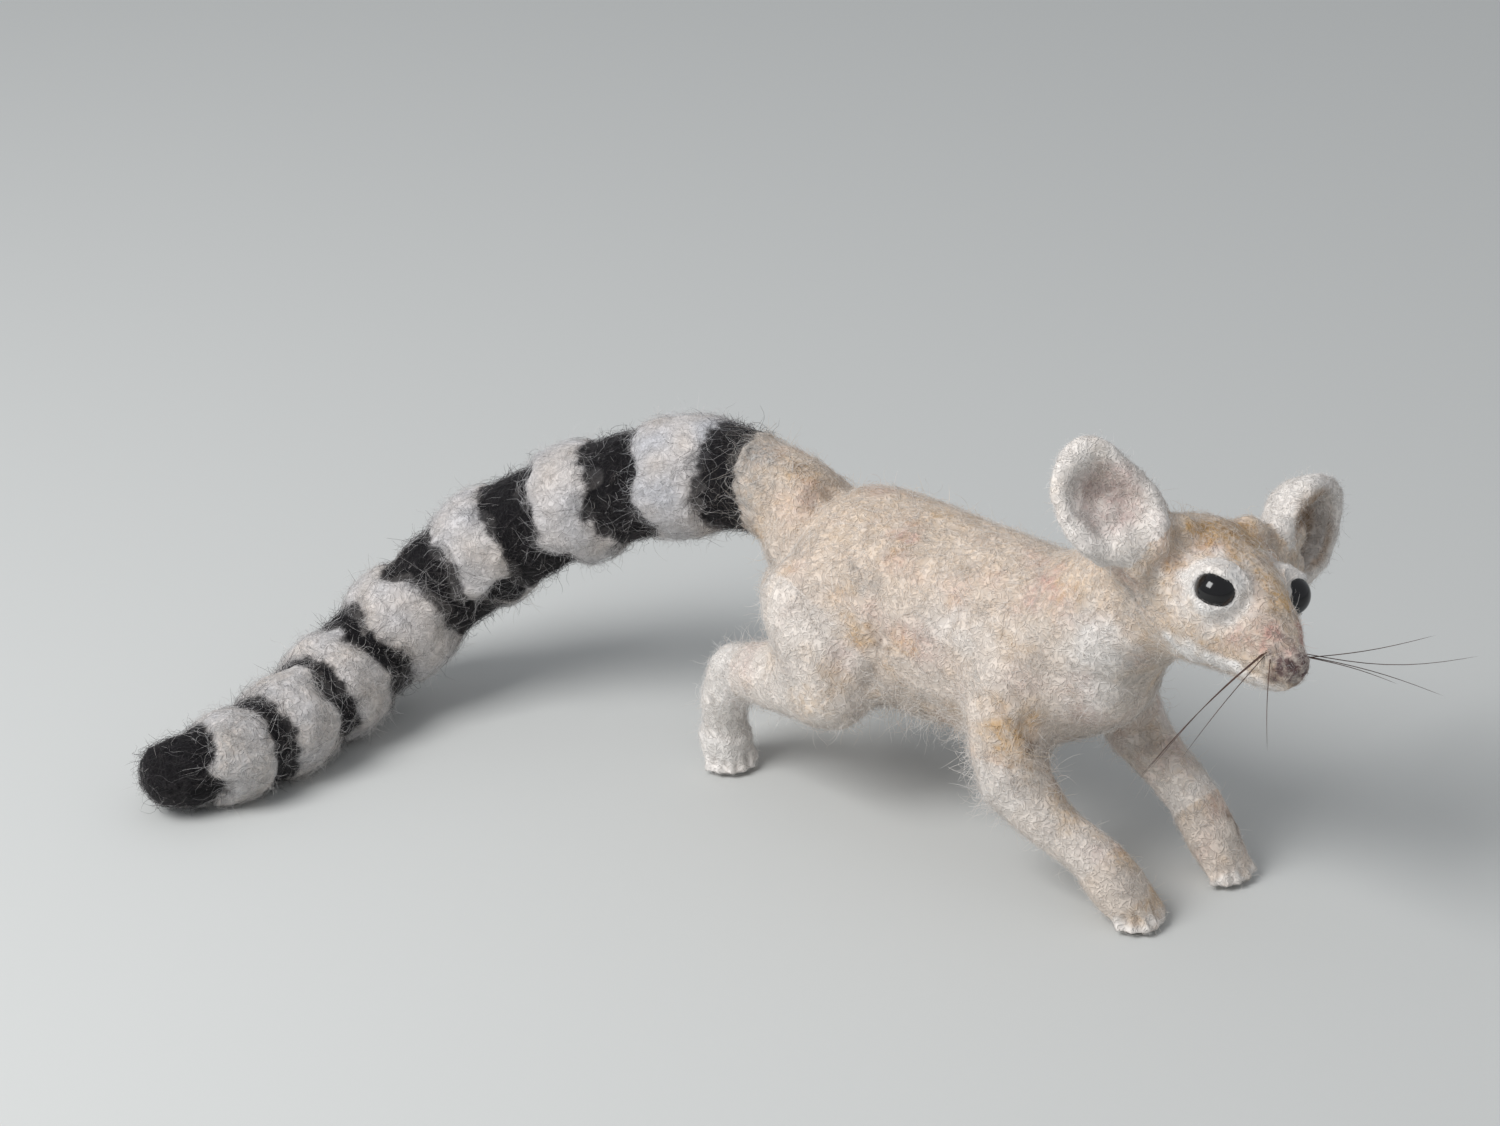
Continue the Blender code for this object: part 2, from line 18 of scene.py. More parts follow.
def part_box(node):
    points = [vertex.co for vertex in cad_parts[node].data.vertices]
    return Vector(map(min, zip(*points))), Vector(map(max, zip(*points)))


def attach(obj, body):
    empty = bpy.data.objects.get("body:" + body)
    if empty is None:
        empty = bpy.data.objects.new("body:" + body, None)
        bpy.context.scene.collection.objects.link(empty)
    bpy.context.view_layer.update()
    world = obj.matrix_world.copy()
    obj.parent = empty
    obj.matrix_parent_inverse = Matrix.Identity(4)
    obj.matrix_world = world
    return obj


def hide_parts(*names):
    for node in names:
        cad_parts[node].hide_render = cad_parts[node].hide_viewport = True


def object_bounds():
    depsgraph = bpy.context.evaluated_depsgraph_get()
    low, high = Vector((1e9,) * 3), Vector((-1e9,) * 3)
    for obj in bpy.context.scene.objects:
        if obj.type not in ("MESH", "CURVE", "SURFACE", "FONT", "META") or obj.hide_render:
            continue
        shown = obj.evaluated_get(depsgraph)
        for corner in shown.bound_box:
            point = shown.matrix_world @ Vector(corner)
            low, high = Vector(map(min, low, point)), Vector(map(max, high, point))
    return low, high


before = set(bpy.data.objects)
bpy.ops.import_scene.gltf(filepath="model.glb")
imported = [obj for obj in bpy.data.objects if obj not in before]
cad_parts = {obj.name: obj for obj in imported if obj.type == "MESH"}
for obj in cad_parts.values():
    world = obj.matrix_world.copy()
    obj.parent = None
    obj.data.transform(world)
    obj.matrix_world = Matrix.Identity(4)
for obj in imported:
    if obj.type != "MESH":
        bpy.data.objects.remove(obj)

MM = 0.001
cad_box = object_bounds()
print("solid model, mm:", [round((high - low) / MM, 1) for low, high in zip(*cad_box)])


# %% [markdown]
# Places on the figure are given in two ways. On the body, a place is a share of one piece's box. On the
# face that would be clumsy, because the head is turned and tilted, so the face has its own frame, in
# millimetres, hung on the two eye beads and the nose.

# %% Places on the body and on the face
def spot(node, along, across, up):
    """The point at these shares of a solid piece's box."""
    low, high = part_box(node)
    return Vector([a + (b - a) * share for a, b, share in zip(low, high, (along, across, up))])


def middle(node):
    return spot(node, 0.5, 0.5, 0.5)


NOSE_DROP = radians(30.4)  # how far the line from the eyes to the nose falls below straight ahead
BEADS_AHEAD = 0.4  # how far the beads lie ahead of the face frame's origin, in millimetres


def face_frame():
    """Origin between the eyes, X forward, Y to the figure's left, Z to its crown, in millimetres."""
    between = (middle("eye_left") + middle("eye_right")) / 2
    left = (middle("eye_left") - middle("eye_right")).normalized()
    to_nose = middle("nose") - between
    to_nose = (to_nose - left * to_nose.dot(left)).normalized()
    over = to_nose.cross(left)
    forward = to_nose * cos(NOSE_DROP) + over * sin(NOSE_DROP)
    crown = over * cos(NOSE_DROP) - to_nose * sin(NOSE_DROP)
    turn = Matrix((forward, left, crown)).transposed().to_4x4()
    return Matrix.Translation(between - forward * BEADS_AHEAD * MM) @ turn @ Matrix.Scale(MM, 4)


FACE = face_frame()


def on_face(*place):
    return FACE @ Vector(place)


def face_way(*way):
    """A direction in the face's frame, turned into the solid model's."""
    return FACE.to_3x3() @ Vector(way)


print("between the eyes, mm:", [round(c / MM, 1) for c in on_face(0, 0, 0)])

# %% [markdown]
# ## Camera
# The camera looks down on the figure's right side from ahead of it. A long lens from half a metre
# keeps a small figure's proportions true, where a wide lens close up would swell the near ear.

# %% Set the camera
CAMERA_TURN = radians(39)
CAMERA_RISE = radians(27)
CAMERA_DISTANCE = 0.5
CAMERA_LENS = 90.9
aim = spot("haunches", -0.108, 0.5, 0.374)
level = cos(CAMERA_RISE)
back = Vector((sin(CAMERA_TURN) * level, -cos(CAMERA_TURN) * level, sin(CAMERA_RISE)))
camera = bpy.data.objects.new("camera", bpy.data.cameras.new("camera"))
camera.data.lens = CAMERA_LENS
camera.data.sensor_width = 36
camera.data.clip_start = 0.01
camera.location = aim + back * CAMERA_DISTANCE
camera.rotation_euler = back.to_track_quat("Z", "Y").to_euler()
bpy.context.scene.collection.objects.link(camera)
bpy.context.scene.camera = camera
print("camera at, mm:", [round(c / MM) for c in camera.location])

# %% [markdown]
# ## Which wool is where
# The solid pieces are sorted first, because the nap's depth, length and density depend on the part of
# the body. A search tree over the solids' faces answers the question "which piece is this point on?"
# for thousands of points at once.

# %% Sort the pieces
BEADS = ("eye_left", "eye_right")
SIDES = ("left", "right")
WOOL = sorted(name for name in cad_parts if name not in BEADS)
DARK = sorted(name for name in WOOL if name.startswith("tail_black") or name == "tail_tip")
BANDS = [f"tail_{shade}_{k}" for k in range(1, 8) for shade in ("black", "white")]
TAIL = ["tail_root", *BANDS, "tail_tip"]

# For each part: nap depth, hair length and hair thickness in millimetres, and how closely hairs are set.
NAP = {
    "eye_ring": (0.25, 0.9, 0.045, 11),
    "nose": (0.20, 0.7, 0.045, 11),
    "head": (0.34, 1.7, 0.050, 8),
    "ear": (0.30, 1.7, 0.045, 7),
    "paw": (0.30, 1.4, 0.050, 8),
    "leg": (0.42, 2.2, 0.055, 6),
    "trunk": (0.50, 2.7, 0.060, 5),
    "tail": (0.70, 3.2, 0.055, 5),
}
PARTS = {
    "eye_ring": [f"eye_ring_{side}" for side in SIDES],
    "nose": ["nose"],
    "head": ["head", "neck"],
    "ear": [f"ear_{side}" for side in SIDES],
    "paw": [f"{paw}_paw_{side}" for paw in ("fore", "hind") for side in SIDES],
    "leg": [f"{bone}_{side}" for bone in ("thigh", "hock", "upper_arm", "forearm") for side in SIDES],
    "trunk": ["chest", "haunches"],
    "tail": TAIL,
}
PART_OF = {name: part for part, names in PARTS.items() for name in names}


def surface_tree(names):
    """A search tree over the faces of some solids, and the solid that each face belongs to."""
    points, faces, owners = [], [], []
    for name in names:
        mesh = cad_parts[name].data
        start = len(points)
        points += [vert.co.copy() for vert in mesh.vertices]
        faces += [[start + index for index in face.vertices] for face in mesh.polygons]
        owners += [name] * len(mesh.polygons)
    return BVHTree.FromPolygons(points, faces), owners


wool_tree, wool_owner = surface_tree(WOOL)
dark_tree, _ = surface_tree(DARK)
light_tree, light_owner = surface_tree([name for name in WOOL if name not in DARK])


def owners_of(points):
    """The solid piece nearest to each point, as a number into WOOL."""
    number = {name: k for k, name in enumerate(WOOL)}
    return np.array([number[wool_owner[wool_tree.find_nearest(point)[2]]] for point in points])


def per_part(column):
    """One column of NAP for every piece in WOOL."""
    return np.array([NAP[PART_OF[name]][column] for name in WOOL])


def is_on(owner, *names):
    """Which points lie on the named pieces, or on pieces whose names start like this."""
    return np.isin(owner, [k for k, name in enumerate(WOOL) if name.startswith(names)])


def is_banded(owner):
    """Which points lie on the tail's bands or its tip, and not on its root."""
    return is_on(owner, "tail") & ~is_on(owner, "tail_root")


print(len(WOOL), "wool pieces,", len(DARK), "of them dark")


# %% [markdown]
# A mesh's points are quicker to shape as one array than one by one, so small helpers read and write
# them. Soft noise, sampled in millimetres, stands for the unevenness of hand work.

# %% Read, write, shake and measure points
def read(items, name, width=1, kind=float):
    """One property of every item in a mesh, as an array."""
    values = np.empty(len(items) * width, dtype=kind)
    items.foreach_get(name, values)
    return values.reshape(-1, width) if width > 1 else values


def read_surface(mesh):
    """A mesh's points and its normals at them."""
    return read(mesh.vertices, "co", 3), read(mesh.vertex_normals, "vector", 3)


def write_points(mesh, points):
    mesh.vertices.foreach_set("co", points.ravel())
    mesh.update()


def soft_noise(points, size, seed):
    """Smooth noise from about -1 to 1 whose lumps are about size millimetres across."""
    shift = Vector((seed * 13.7, seed * 5.1, seed * 9.3))
    return np.array([noise.noise(Vector(point) / (size * MM) + shift) for point in points])


def soft_shake(points, size, seed):
    """Soft noise along each of the three axes."""
    return np.stack([soft_noise(points, size, seed + k) for k in range(3)], axis=1)


def smooth_step(values, low, high):
    t = np.clip((values - low) / (high - low), 0, 1)
    return t * t * (3 - 2 * t)


def unit(vectors):
    return vectors / np.maximum(np.linalg.norm(vectors, axis=-1, keepdims=True), 1e-12)


def how_far(points, place):
    return np.linalg.norm(points - np.array(place), axis=1)


def bell(distance, reach):
    """1 at no distance, fading out round this reach in millimetres."""
    return np.exp(-((distance / (reach * MM)) ** 2))


# %% [markdown]
# ## Wads of wool
# A felter builds small forms by laying on little wads: a roll round an ear's rim, a pad for each toe, a
# thin roll for each eyelid. Here each wad is an icosphere, laid into the same mesh as the body before
# the skin is wrapped. Joining them with Booleans would leave sharp seams. An ear's rim is found on its
# solid: the points farthest from the ear's middle, seen along the way its hollow faces.

# %% Find the ears' rims and lay wads on them
def add_wad(bm, place, radius, along=(0, 0, 1), stretch=1.0):
    """A ball of wool of this radius in millimetres, drawn out or flattened along one direction."""
    turn = Vector(along).to_track_quat("Z", "Y").to_matrix().to_4x4()
    shape = Matrix.Translation(Vector(place)) @ turn @ Matrix.Diagonal((1, 1, stretch, 1))
    bmesh.ops.create_icosphere(bm, subdivisions=2, radius=radius * MM, matrix=shape)


EAR_OPENING = {"right": (0.85, -0.45, 0.25), "left": (0.93, 0.32, 0.18)}
RIM_POINTS = 18
RIM_WADS = 3  # between one rim point and the next
# Each row of wads on a rim: how far inside and behind the solid rim, and its radius, in millimetres.
RIM_ROWS = {"right": ((0.0, 0.3, 2.1), (2.2, 1.6, 1.8)), "left": ((0.2, 0.4, 2.0),)}
RIM_TOP = 1.3  # how much farther in the rim's top lies
RIM_FOOT = {"right": 1.2, "left": 0.0}  # how much farther back the rim lies next to the head
FOOT_SHRINK = {"right": 0.0, "left": 0.5}  # how much smaller its wads are there
CUP_FILL = {"right": -2.4, "left": -3.0}  # how far the floor of each hollow lies behind its rim
CUP_SINK = 1.6  # how far the middle of the wad that fills it lies behind the floor
CUP_RADIUS = 5.0
CUP_FLATNESS = 0.34
# Wads that carry the ears into the head: places in the face's frame and radii, in millimetres.
EAR_ROOTS = (
    ((-9.6, -13.6, 2.8), 2.3), ((-8.9, -12.0, 2.0), 2.9), ((-8.8, -13.8, 1.2), 2.6),
    ((-7.0, -10.4, 2.6), 2.6), ((-7.6, -10.6, 5.2), 2.4), ((-10.6, -14.8, 0.2), 2.6),
    ((-7.6, -11.6, -0.4), 2.4), ((-10.6, -11.6, 4.8), 3.3), ((-12.6, -14.2, 4.4), 3.4),
    ((-12.2, -14.0, 1.8), 2.8), ((-8.4, -6.0, 3.9), 3.3), ((-8.6, 12.0, 3.2), 3.3),
    ((-10.8, 14.8, 4.4), 3.4), ((-8.4, 11.4, 5.4), 2.6), ((-8.8, 6.2, 4.3), 3.3),
)


def ear_rim(side):
    """An ear's middle at its rim, the way its hollow faces, and points round the rim."""
    opening = unit(np.array(face_way(*EAR_OPENING[side])))
    crosswise = unit(np.cross(opening, (0, 0, 1)))
    upright = np.cross(crosswise, opening)
    points, _ = read_surface(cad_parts[f"ear_{side}"].data)
    a, b, depth = points @ crosswise, points @ upright, points @ opening
    hub = crosswise * (a.max() + a.min()) / 2 + upright * (b.max() + b.min()) / 2 + opening * depth.max()
    a, b = (points - hub) @ crosswise, (points - hub) @ upright
    away = np.hypot(b, a) + (depth - depth.max())
    sector = np.floor((np.arctan2(b, a) + pi) / (2 * pi) * RIM_POINTS).astype(int) % RIM_POINTS
    rim = [points[np.flatnonzero(sector == k)[away[sector == k].argmax()]] for k in range(RIM_POINTS)]
    return hub, opening, np.array(rim)


def lay_rim(bm, side):
    hub, opening, rim = rims[side]
    to_head = unit(np.array(middle("head")) - hub)
    for inset, behind, radius in RIM_ROWS[side]:
        for k in range(RIM_POINTS * RIM_WADS):
            a, b = rim[k // RIM_WADS], rim[(k // RIM_WADS + 1) % RIM_POINTS]
            place = a + (b - a) * (k % RIM_WADS) / RIM_WADS
            outwards = unit(place - hub)
            foot = max(outwards @ to_head, 0)  # 1 where the rim meets the head
            drop = inset + RIM_TOP * max(outwards[2], 0) ** 2
            place = place - (outwards * drop + opening * (behind + RIM_FOOT[side] * foot)) * MM
            size = radius * (1 + 0.2 * noise.noise(Vector(place) / (3.5 * MM)))
            add_wad(bm, place, size * (1 - FOOT_SHRINK[side] * foot))
    add_wad(bm, hub + opening * (CUP_FILL[side] - CUP_SINK) * MM, CUP_RADIUS, opening, CUP_FLATNESS)


rims = {side: ear_rim(side) for side in SIDES}
print("rims, mm:", {side: [round(c / MM, 1) for c in rims[side][0]] for side in SIDES})

# %% [markdown]
# The eyelids are two thin rolls that lie on the bead like the halves of an almond's outline: each
# follows a great circle of the bead, tilted up or down from the way the eye looks.

# %% Roll the lids and set the toes
BEAD_RADIUS = 2.5 * MM
EYE_OUT = Vector((0.42, 0.88, 0.16))  # the way the left bead looks, in the face's frame
LID_TILT = {1: radians(55), -1: radians(57)}  # the upper lid's and the lower lid's
LID_REACH = radians(62)
LID_FORWARD = {"right": 0.75, "left": 0.15}  # the share of that reach towards the nose
LID_WADS = 13
LID_RADIUS = 0.72
LID_TAPER = 0.35  # the share of its radius that a lid loses at its ends
LID_CLEARANCE = 0.1 * MM  # from the glass to the middle of the roll


def eye_axes(side):
    """A bead's middle, the way it looks, and the direction across its lids."""
    flip = Vector((1, 1 if side == "left" else -1, 1))
    turn = FACE.to_3x3().normalized()
    out = (turn @ (EYE_OUT * flip)).normalized()
    crown = turn @ Vector((0, 0, 1))
    upright = (crown - out * crown.dot(out)).normalized()
    return middle(f"eye_{side}"), out, upright


def lay_lids(bm, side):
    centre, out, upright = eye_axes(side)
    sideways = out.cross(upright)
    forward = 1 if side == "left" else -1  # the sign of the turn that leads to the nose
    for sign, tilt in LID_TILT.items():
        for k in range(LID_WADS):
            share = 2 * k / (LID_WADS - 1) - 1
            turn = share * LID_REACH * (LID_FORWARD[side] if share * forward > 0 else 1)
            towards = (out * cos(tilt) + upright * sin(tilt) * sign) * cos(turn) + sideways * sin(turn)
            place = centre + towards * (BEAD_RADIUS + LID_CLEARANCE)
            add_wad(bm, place, LID_RADIUS * (1 - LID_TAPER * share**2))


# Where each paw's toes face, in degrees from straight ahead.
PAW_FACING = {"fore_paw_right": -32, "fore_paw_left": -19, "hind_paw_right": -42, "hind_paw_left": 42}
TOES = 5
TOE_PITCH = radians(25)
TOE_RADIUS = 1.25
TOE_REACH = 3.3  # from the paw's middle
TOE_HEIGHT = 1.15


def toe_places(paw, reach, height, between=False):
    """Points round the front of a paw: its toes, or the gaps between them."""
    centre = spot(paw, 0.6 if paw.startswith("fore") else 0.48, 0.55 if paw.endswith("right") else 0.45, 0)
    places = []
    for k in range(TOES - between):
        angle = radians(PAW_FACING[paw]) + (k - (TOES - 1 - between) / 2) * TOE_PITCH
        towards = Vector((cos(angle), sin(angle), 0))
        places.append((centre + towards * reach * MM + Vector((0, 0, height * MM)), towards))
    return places


def lay_toes(bm, paw):
    for place, towards in toe_places(paw, TOE_REACH, TOE_HEIGHT):
        add_wad(bm, place, TOE_RADIUS, towards + Vector((0, 0, -0.35)), 1.5)


print(len(LID_TILT) * LID_WADS, "wads round each eye,", TOES, "toes on each paw")

# %% [markdown]
# ## The felted core
# No seam shows between head, legs and tail: the wool was needled together. So copies of the wool solids
# are grown until they close the gaps between them, and a voxel Remesh wraps them and the wads in one
# skin. A Boolean union would keep every crease, and the next step needs the Remesh's even faces.

# %% Wrap the wool in one skin
GROWTH = 0.35 * MM  # each copy's growth, more than half the gap between two solids
SKIN_CELL = 0.42 * MM


def grown_copy(name):
    """A solid's mesh, merged and grown outwards."""
    bm = bmesh.new()
    bm.from_mesh(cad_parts[name].data)
    bmesh.ops.remove_doubles(bm, verts=bm.verts, dist=0.001 * MM)
    bm.normal_update()
    moves = [vert.normal * GROWTH * min(vert.calc_shell_factor(), 1.6) for vert in bm.verts]
    for vert, move in zip(bm.verts, moves):
        vert.co += move
    return mesh_from(bm, name)


def mesh_from(bm, name):
    mesh = bpy.data.meshes.new(name)
    bm.to_mesh(mesh)
    bm.free()
    return mesh


def link(name, mesh):
    obj = bpy.data.objects.new(name, mesh)
    bpy.context.scene.collection.objects.link(obj)
    return obj


whole = bmesh.new()
for name in WOOL:
    whole.from_mesh(grown_copy(name))
for side in SIDES:
    lay_rim(whole, side)
    lay_lids(whole, side)
for place, radius in EAR_ROOTS:
    add_wad(whole, on_face(*place), radius)
for paw in PAW_FACING:
    lay_toes(whole, paw)
skin = link("felted_skin", mesh_from(whole, "felted_skin"))
wrap = skin.modifiers.new("wrap", "REMESH")
wrap.mode = "VOXEL"
wrap.voxel_size = SKIN_CELL
soften = skin.modifiers.new("soften", "SMOOTH")
soften.iterations = 4
wrapped = bpy.data.meshes.new_from_object(skin.evaluated_get(bpy.context.evaluated_depsgraph_get()))
skin.modifiers.clear()
skin.data = wrapped
print("skin:", len(skin.data.polygons), "faces")

# %% [markdown]
# ## Markings
# The maker laid tufts of dyed wool on a cream base: ochre on the crown and in the folds, rose on the
# muzzle and in the ears, white round the eyes and on the feet, charcoal for the tail's bands. A few
# dabs paint shade instead of dye: brown and rose in the creases of the legs and paws, mauve in the
# crease under each eye. The skin and the nap must agree on them, so one function gives the amount of
# each dye at any point, for both.

# %% Where each dab of dyed wool lies
# Under each dye: a dab's middle, its reach in millimetres along its frame's x, y and z, and its strength.
# The face's dabs lie on its left and are laid on its right as well.
FACE_DABS = {
    "ochre": (
        ((-5.0, 3.4, 5.5), (4.0, 4.4, 3.2), 1.0), ((-1.5, 2.4, 4.6), (4.0, 3.4, 2.4), 0.6),
        ((3.8, 0.6, 1.6), (5.5, 1.9, 3.0), 0.75), ((-4.4, 8.7, 0.7), (2.6, 2.4, 2.6), 0.7),
        ((1.6, 6.2, -6.0), (3.0, 2.2, 1.4), 0.5), ((-3.2, 8.2, -3.6), (2.2, 2.0, 2.4), 0.4),
    ),
    "brown": (
        ((-4.6, 1.6, 6.0), (4.6, 2.6, 2.2), 0.4), ((-1.4, 0.4, 5.2), (2.4, 0.9, 1.4), 0.35),
        ((6.4, 1.2, -0.2), (3.0, 1.0, 1.6), 0.4), ((-3.6, 8.4, 1.8), (1.3, 1.3, 1.3), 0.3),
        ((11.3, 1.5, -5.6), (1.1, 1.0, 1.0), 0.75), ((9.6, 2.3, -6.4), (1.0, 0.9, 1.0), 0.5),
    ),
    "rose": (
        ((7.6, 2.6, -3.0), (3.0, 2.4, 2.2), 0.8), ((4.6, 4.4, -4.4), (3.0, 2.0, 1.6), 0.4),
    ),
    "mauve": (
        # The two mauve dabs at (1.2, 7.4, -4.6) and (3.6, 6.0, -3.2) darken the crease under each lower
        # lid: painted shade.
        ((9.0, 1.6, -3.4), (1.8, 1.8, 1.2), 0.45), ((1.2, 7.4, -4.6), (1.6, 1.1, 0.8), 0.55),
        ((3.6, 6.0, -3.2), (1.5, 1.1, 0.8), 0.55), ((10.2, 0.0, -5.8), (2.6, 3.7, 3.1), 1.0),
    ),
    "grey": (
        ((-9.0, 8.0, -5.0), (4.0, 4.0, 4.5), 0.6),
    ),
    "white": (
        ((7.2, 1.6, -9.4), (2.6, 2.8, 1.9), 1.0), ((4.2, 3.8, -8.6), (3.6, 2.6, 1.9), 1.0),
        ((1.0, 4.6, -8.6), (3.6, 2.6, 2.0), 1.0), ((-2.6, 5.6, -9.0), (4.4, 3.4, 2.3), 1.0),
        ((-2.0, 0.0, -11.4), (7.0, 4.5, 3.0), 0.8), ((0.0, 6.2, -0.2), (6.0, 5.2, 6.0), 1.0),
        ((-0.6, 4.8, 3.6), (2.4, 1.8, 1.4), 0.5), ((-5.0, 10.4, -1.4), (2.6, 2.0, 3.0), 0.4),
    ),
}
# On the body, a dab's middle is a piece and shares of its box.
SINGLE_DABS = {
    "ochre": (
        ("neck", (0.32, 0.13, 0.78), (3.6, 3.0, 2.8), 0.6),
        ("haunches", (0.23, 0.45, 0.95), (5.0, 5.0, 3.0), 0.5),
        ("fore_paw_right", (0.3, 0.6, 0.8), (4.0, 3.6, 2.8), 0.55),
        ("fore_paw_right", (0.8, 0.75, 0.45), (2.6, 2.4, 2.4), 0.45),
        ("fore_paw_left", (0.3, 0.5, 0.85), (3.4, 3.0, 2.6), 0.4),
    ),
    "rose": (
        ("neck", (0.13, 0.18, 0.72), (3.6, 3.2, 3.2), 0.5),
        ("haunches", (0.79, 0.31, 0.9), (2.2, 2.2, 1.8), 0.5),
        ("forearm_left", (0.4, 0.4, 0.7), (4.0, 3.0, 3.0), 0.5),
        ("ear_right", (0.37, 0.66, 0.40), (2.8, 3.0, 2.8), 0.8),
    ),
    "brown": (
        ("haunches", (0.65, 0.24, 0.87), (1.1, 1.1, 1.0), 0.35),
        ("haunches", (0.16, 0.45, 1.0), (3.0, 1.4, 2.0), 0.35),
        # The brown on the tail root's side is partly its own wool, partly painted shade.
        ("tail_root", (0.5, 0.2, 0.5), (4.5, 4.0, 6.0), 0.3),
        ("fore_paw_left", (0.66, 0.78, 0.62), (3.4, 1.4, 2.6), 0.5),
        ("ear_right", (0.37, 0.66, 0.40), (2.2, 2.4, 2.1), 0.7),
        ("ear_right", (0.50, 0.48, 0.22), (1.5, 1.7, 1.5), 0.5),
        ("ear_right", (0.91, 0.56, 0.17), (0.9, 1.0, 0.9), 0.5),
    ),
    "grey": (
        # The tail root's grey is partly its own greyer wool, partly painted shade.
        ("tail_root", (0.35, 0.4, 0.6), (7.0, 7.0, 7.0), 1.0),
        ("neck", (0.75, 0.2, 0.25), (5.0, 5.0, 5.0), 0.5),
    ),
    "white": (
        ("neck", (0.6, 0.05, 0.42), (5.5, 5.0, 6.5), 0.8),
    ),
}
# These lie on the figure's right and are laid on its left as well.
PAIRED_DABS = {
    "brown": (
        # These four brown dabs lie in the thigh fold, the elbow fold, the ankle's crease and under the hind
        # toes: painted shade in these creases.
        ("haunches", (0.83, 0.02, 0.5), (1.5, 2.2, 3.0), 0.5),
        ("chest", (0.66, 0.18, 0.26), (2.2, 2.6, 2.2), 0.6),
        ("hock_right", (0.85, 0.36, 0.16), (1.3, 1.8, 1.9), 0.4),
        ("hind_paw_right", (0.92, 0.3, 0.3), (1.3, 1.6, 1.6), 0.3),
    ),
    "ochre": (
        ("haunches", (0.74, 0.02, 0.5), (3.0, 2.4, 3.0), 0.55),
        ("thigh_right", (0.62, 0.02, 0.33), (4.5, 3.0, 2.8), 0.5),
        ("chest", (0.56, 0.10, 0.33), (5.6, 4.4, 5.0), 0.66),
        ("forearm_right", (0.45, 0.6, 0.75), (5.5, 4.0, 5.0), 0.66),
        ("thigh_right", (0.72, 0.2, 0.5), (3.6, 3.4, 3.4), 0.6),
    ),
    "grey": (
        ("haunches", (0.74, 0.06, 0.74), (4.5, 3.5, 3.2), 0.45),
        ("chest", (0.9, 0.4, 0.25), (5.0, 5.0, 4.5), 0.45),
    ),
    "white": (
        ("chest", (0.2, 0.12, 0.72), (7.5, 4.0, 4.0), 0.45),
        ("chest", (0.88, 0.22, 0.5), (6.0, 6.0, 8.5), 0.65),
    ),
    "rose": (
        # Rose in the hock's crease: painted shade, tinted pink.
        ("hock_right", (0.91, 0.34, 0.4), (1.8, 2.4, 2.6), 0.55),
    ),
}
DYES = ("ochre", "rose", "brown", "mauve", "grey", "white", "frost_and_shade", "black")


def mirrored(node, along, across, up):
    """The spot on the figure's left that matches one on its right."""
    return spot(node.replace("right", "left"), along, 1 - across, up)


body_dabs = {dye: [] for dye in DYES}
for place_on, table in ((spot, SINGLE_DABS), (spot, PAIRED_DABS), (mirrored, PAIRED_DABS)):
    for dye, dabs in table.items():
        body_dabs[dye] += [(place_on(node, *place), *rest) for node, place, *rest in dabs]
for across in (-13.5, 13.5):
    body_dabs["white"].append((on_face(-12.2, across, 1.8), (5.5, 5.5, 5.5), 0.55))
for paw in PAW_FACING:
    for place, _ in toe_places(paw, TOE_REACH + 0.4, 1.0):
        body_dabs["white"].append((place, (1.9, 1.9, 1.7), 0.7))
print({dye: len(dabs) for dye, dabs in body_dabs.items()}, "dabs on the body")

# %% [markdown]
# A dab fades out like a tuft of wool, so its distance is first shaken by noise, which makes its edge
# wispy. The tail's bands are found by comparing the distances to the nearest dark solid and to the
# nearest light one. That follows the rings of the solid model wherever the tail bends.

# %% Spread the dabs, find the bands
# Places low on the tail where the dark bands run together, and their reach in millimetres.
DARK_BELLY = [spot("tail_white_3", 0.93, 0.30, 0.22), spot("tail_black_3", 0.93, 0.35, 0.22),
              spot("tail_black_4", 0.92, 0.32, 0.36)]
BELLY_REACH = 4.0
NOT_DARK = -9.0  # a distance that counts as far outside every band


def band_darkness(points, owner, soft):
    """1 in the tail's dark bands, 0 outside them, with a wavy edge soft millimetres wide."""
    wave = soft_shake(points, 5.5, 31) * 2.0 * MM
    wave += soft_shake(points, 1.7, 34) * 0.8 * MM
    waved = points + wave
    on_tail = is_on(owner, "tail")
    dark = np.full(len(points), NOT_DARK)
    for k in np.flatnonzero(on_tail):
        to_dark = dark_tree.find_nearest(waved[k])[3]
        to_light = light_tree.find_nearest(waved[k])[3]
        dark[k] = (to_light - to_dark) / MM
    for place in DARK_BELLY:
        dark = np.maximum(dark, np.where(on_tail, BELLY_REACH - how_far(waved, place) / MM, NOT_DARK))
    return smooth_step(dark, -soft / 2, soft / 2)


def lay_dye(amount, dye, share):
    """Lays dye on dye: the stronger of the two stays."""
    amount[dye] = np.maximum(amount[dye], share)


def spread_dabs(points):
    """How much of each dye the dabs lay at each point."""
    shaken = points + soft_shake(points, 2.0, 1) * 2.0 * MM
    to_face = np.array(FACE.inverted())
    faced = shaken @ to_face[:3, :3].T + to_face[:3, 3]
    faced[:, 1] = np.abs(faced[:, 1])
    amount = {dye: np.zeros(len(points)) for dye in DYES}
    for table, places, size in ((FACE_DABS, faced, 1), (body_dabs, shaken, MM)):
        for dye, dabs in table.items():
            for centre, reach, strength in dabs:
                distance = np.linalg.norm((places - np.array(centre)) / (np.array(reach) * size), axis=1)
                lay_dye(amount, dye, (1 - smooth_step(distance, 0.3, 1.2)) * strength)
    return amount


# %% [markdown]
# Beneath the dabs the wool is never one colour either. Broad, faint patches of ochre, rose and grey run
# through the cream, the back is a little browner than the belly, and the feet are nearly white. The
# ears are white outside with a tinted lining, which only faces that look into the hollow get. The far
# ear's brown lining is partly its own colour, partly painted shade in its deep hollow.

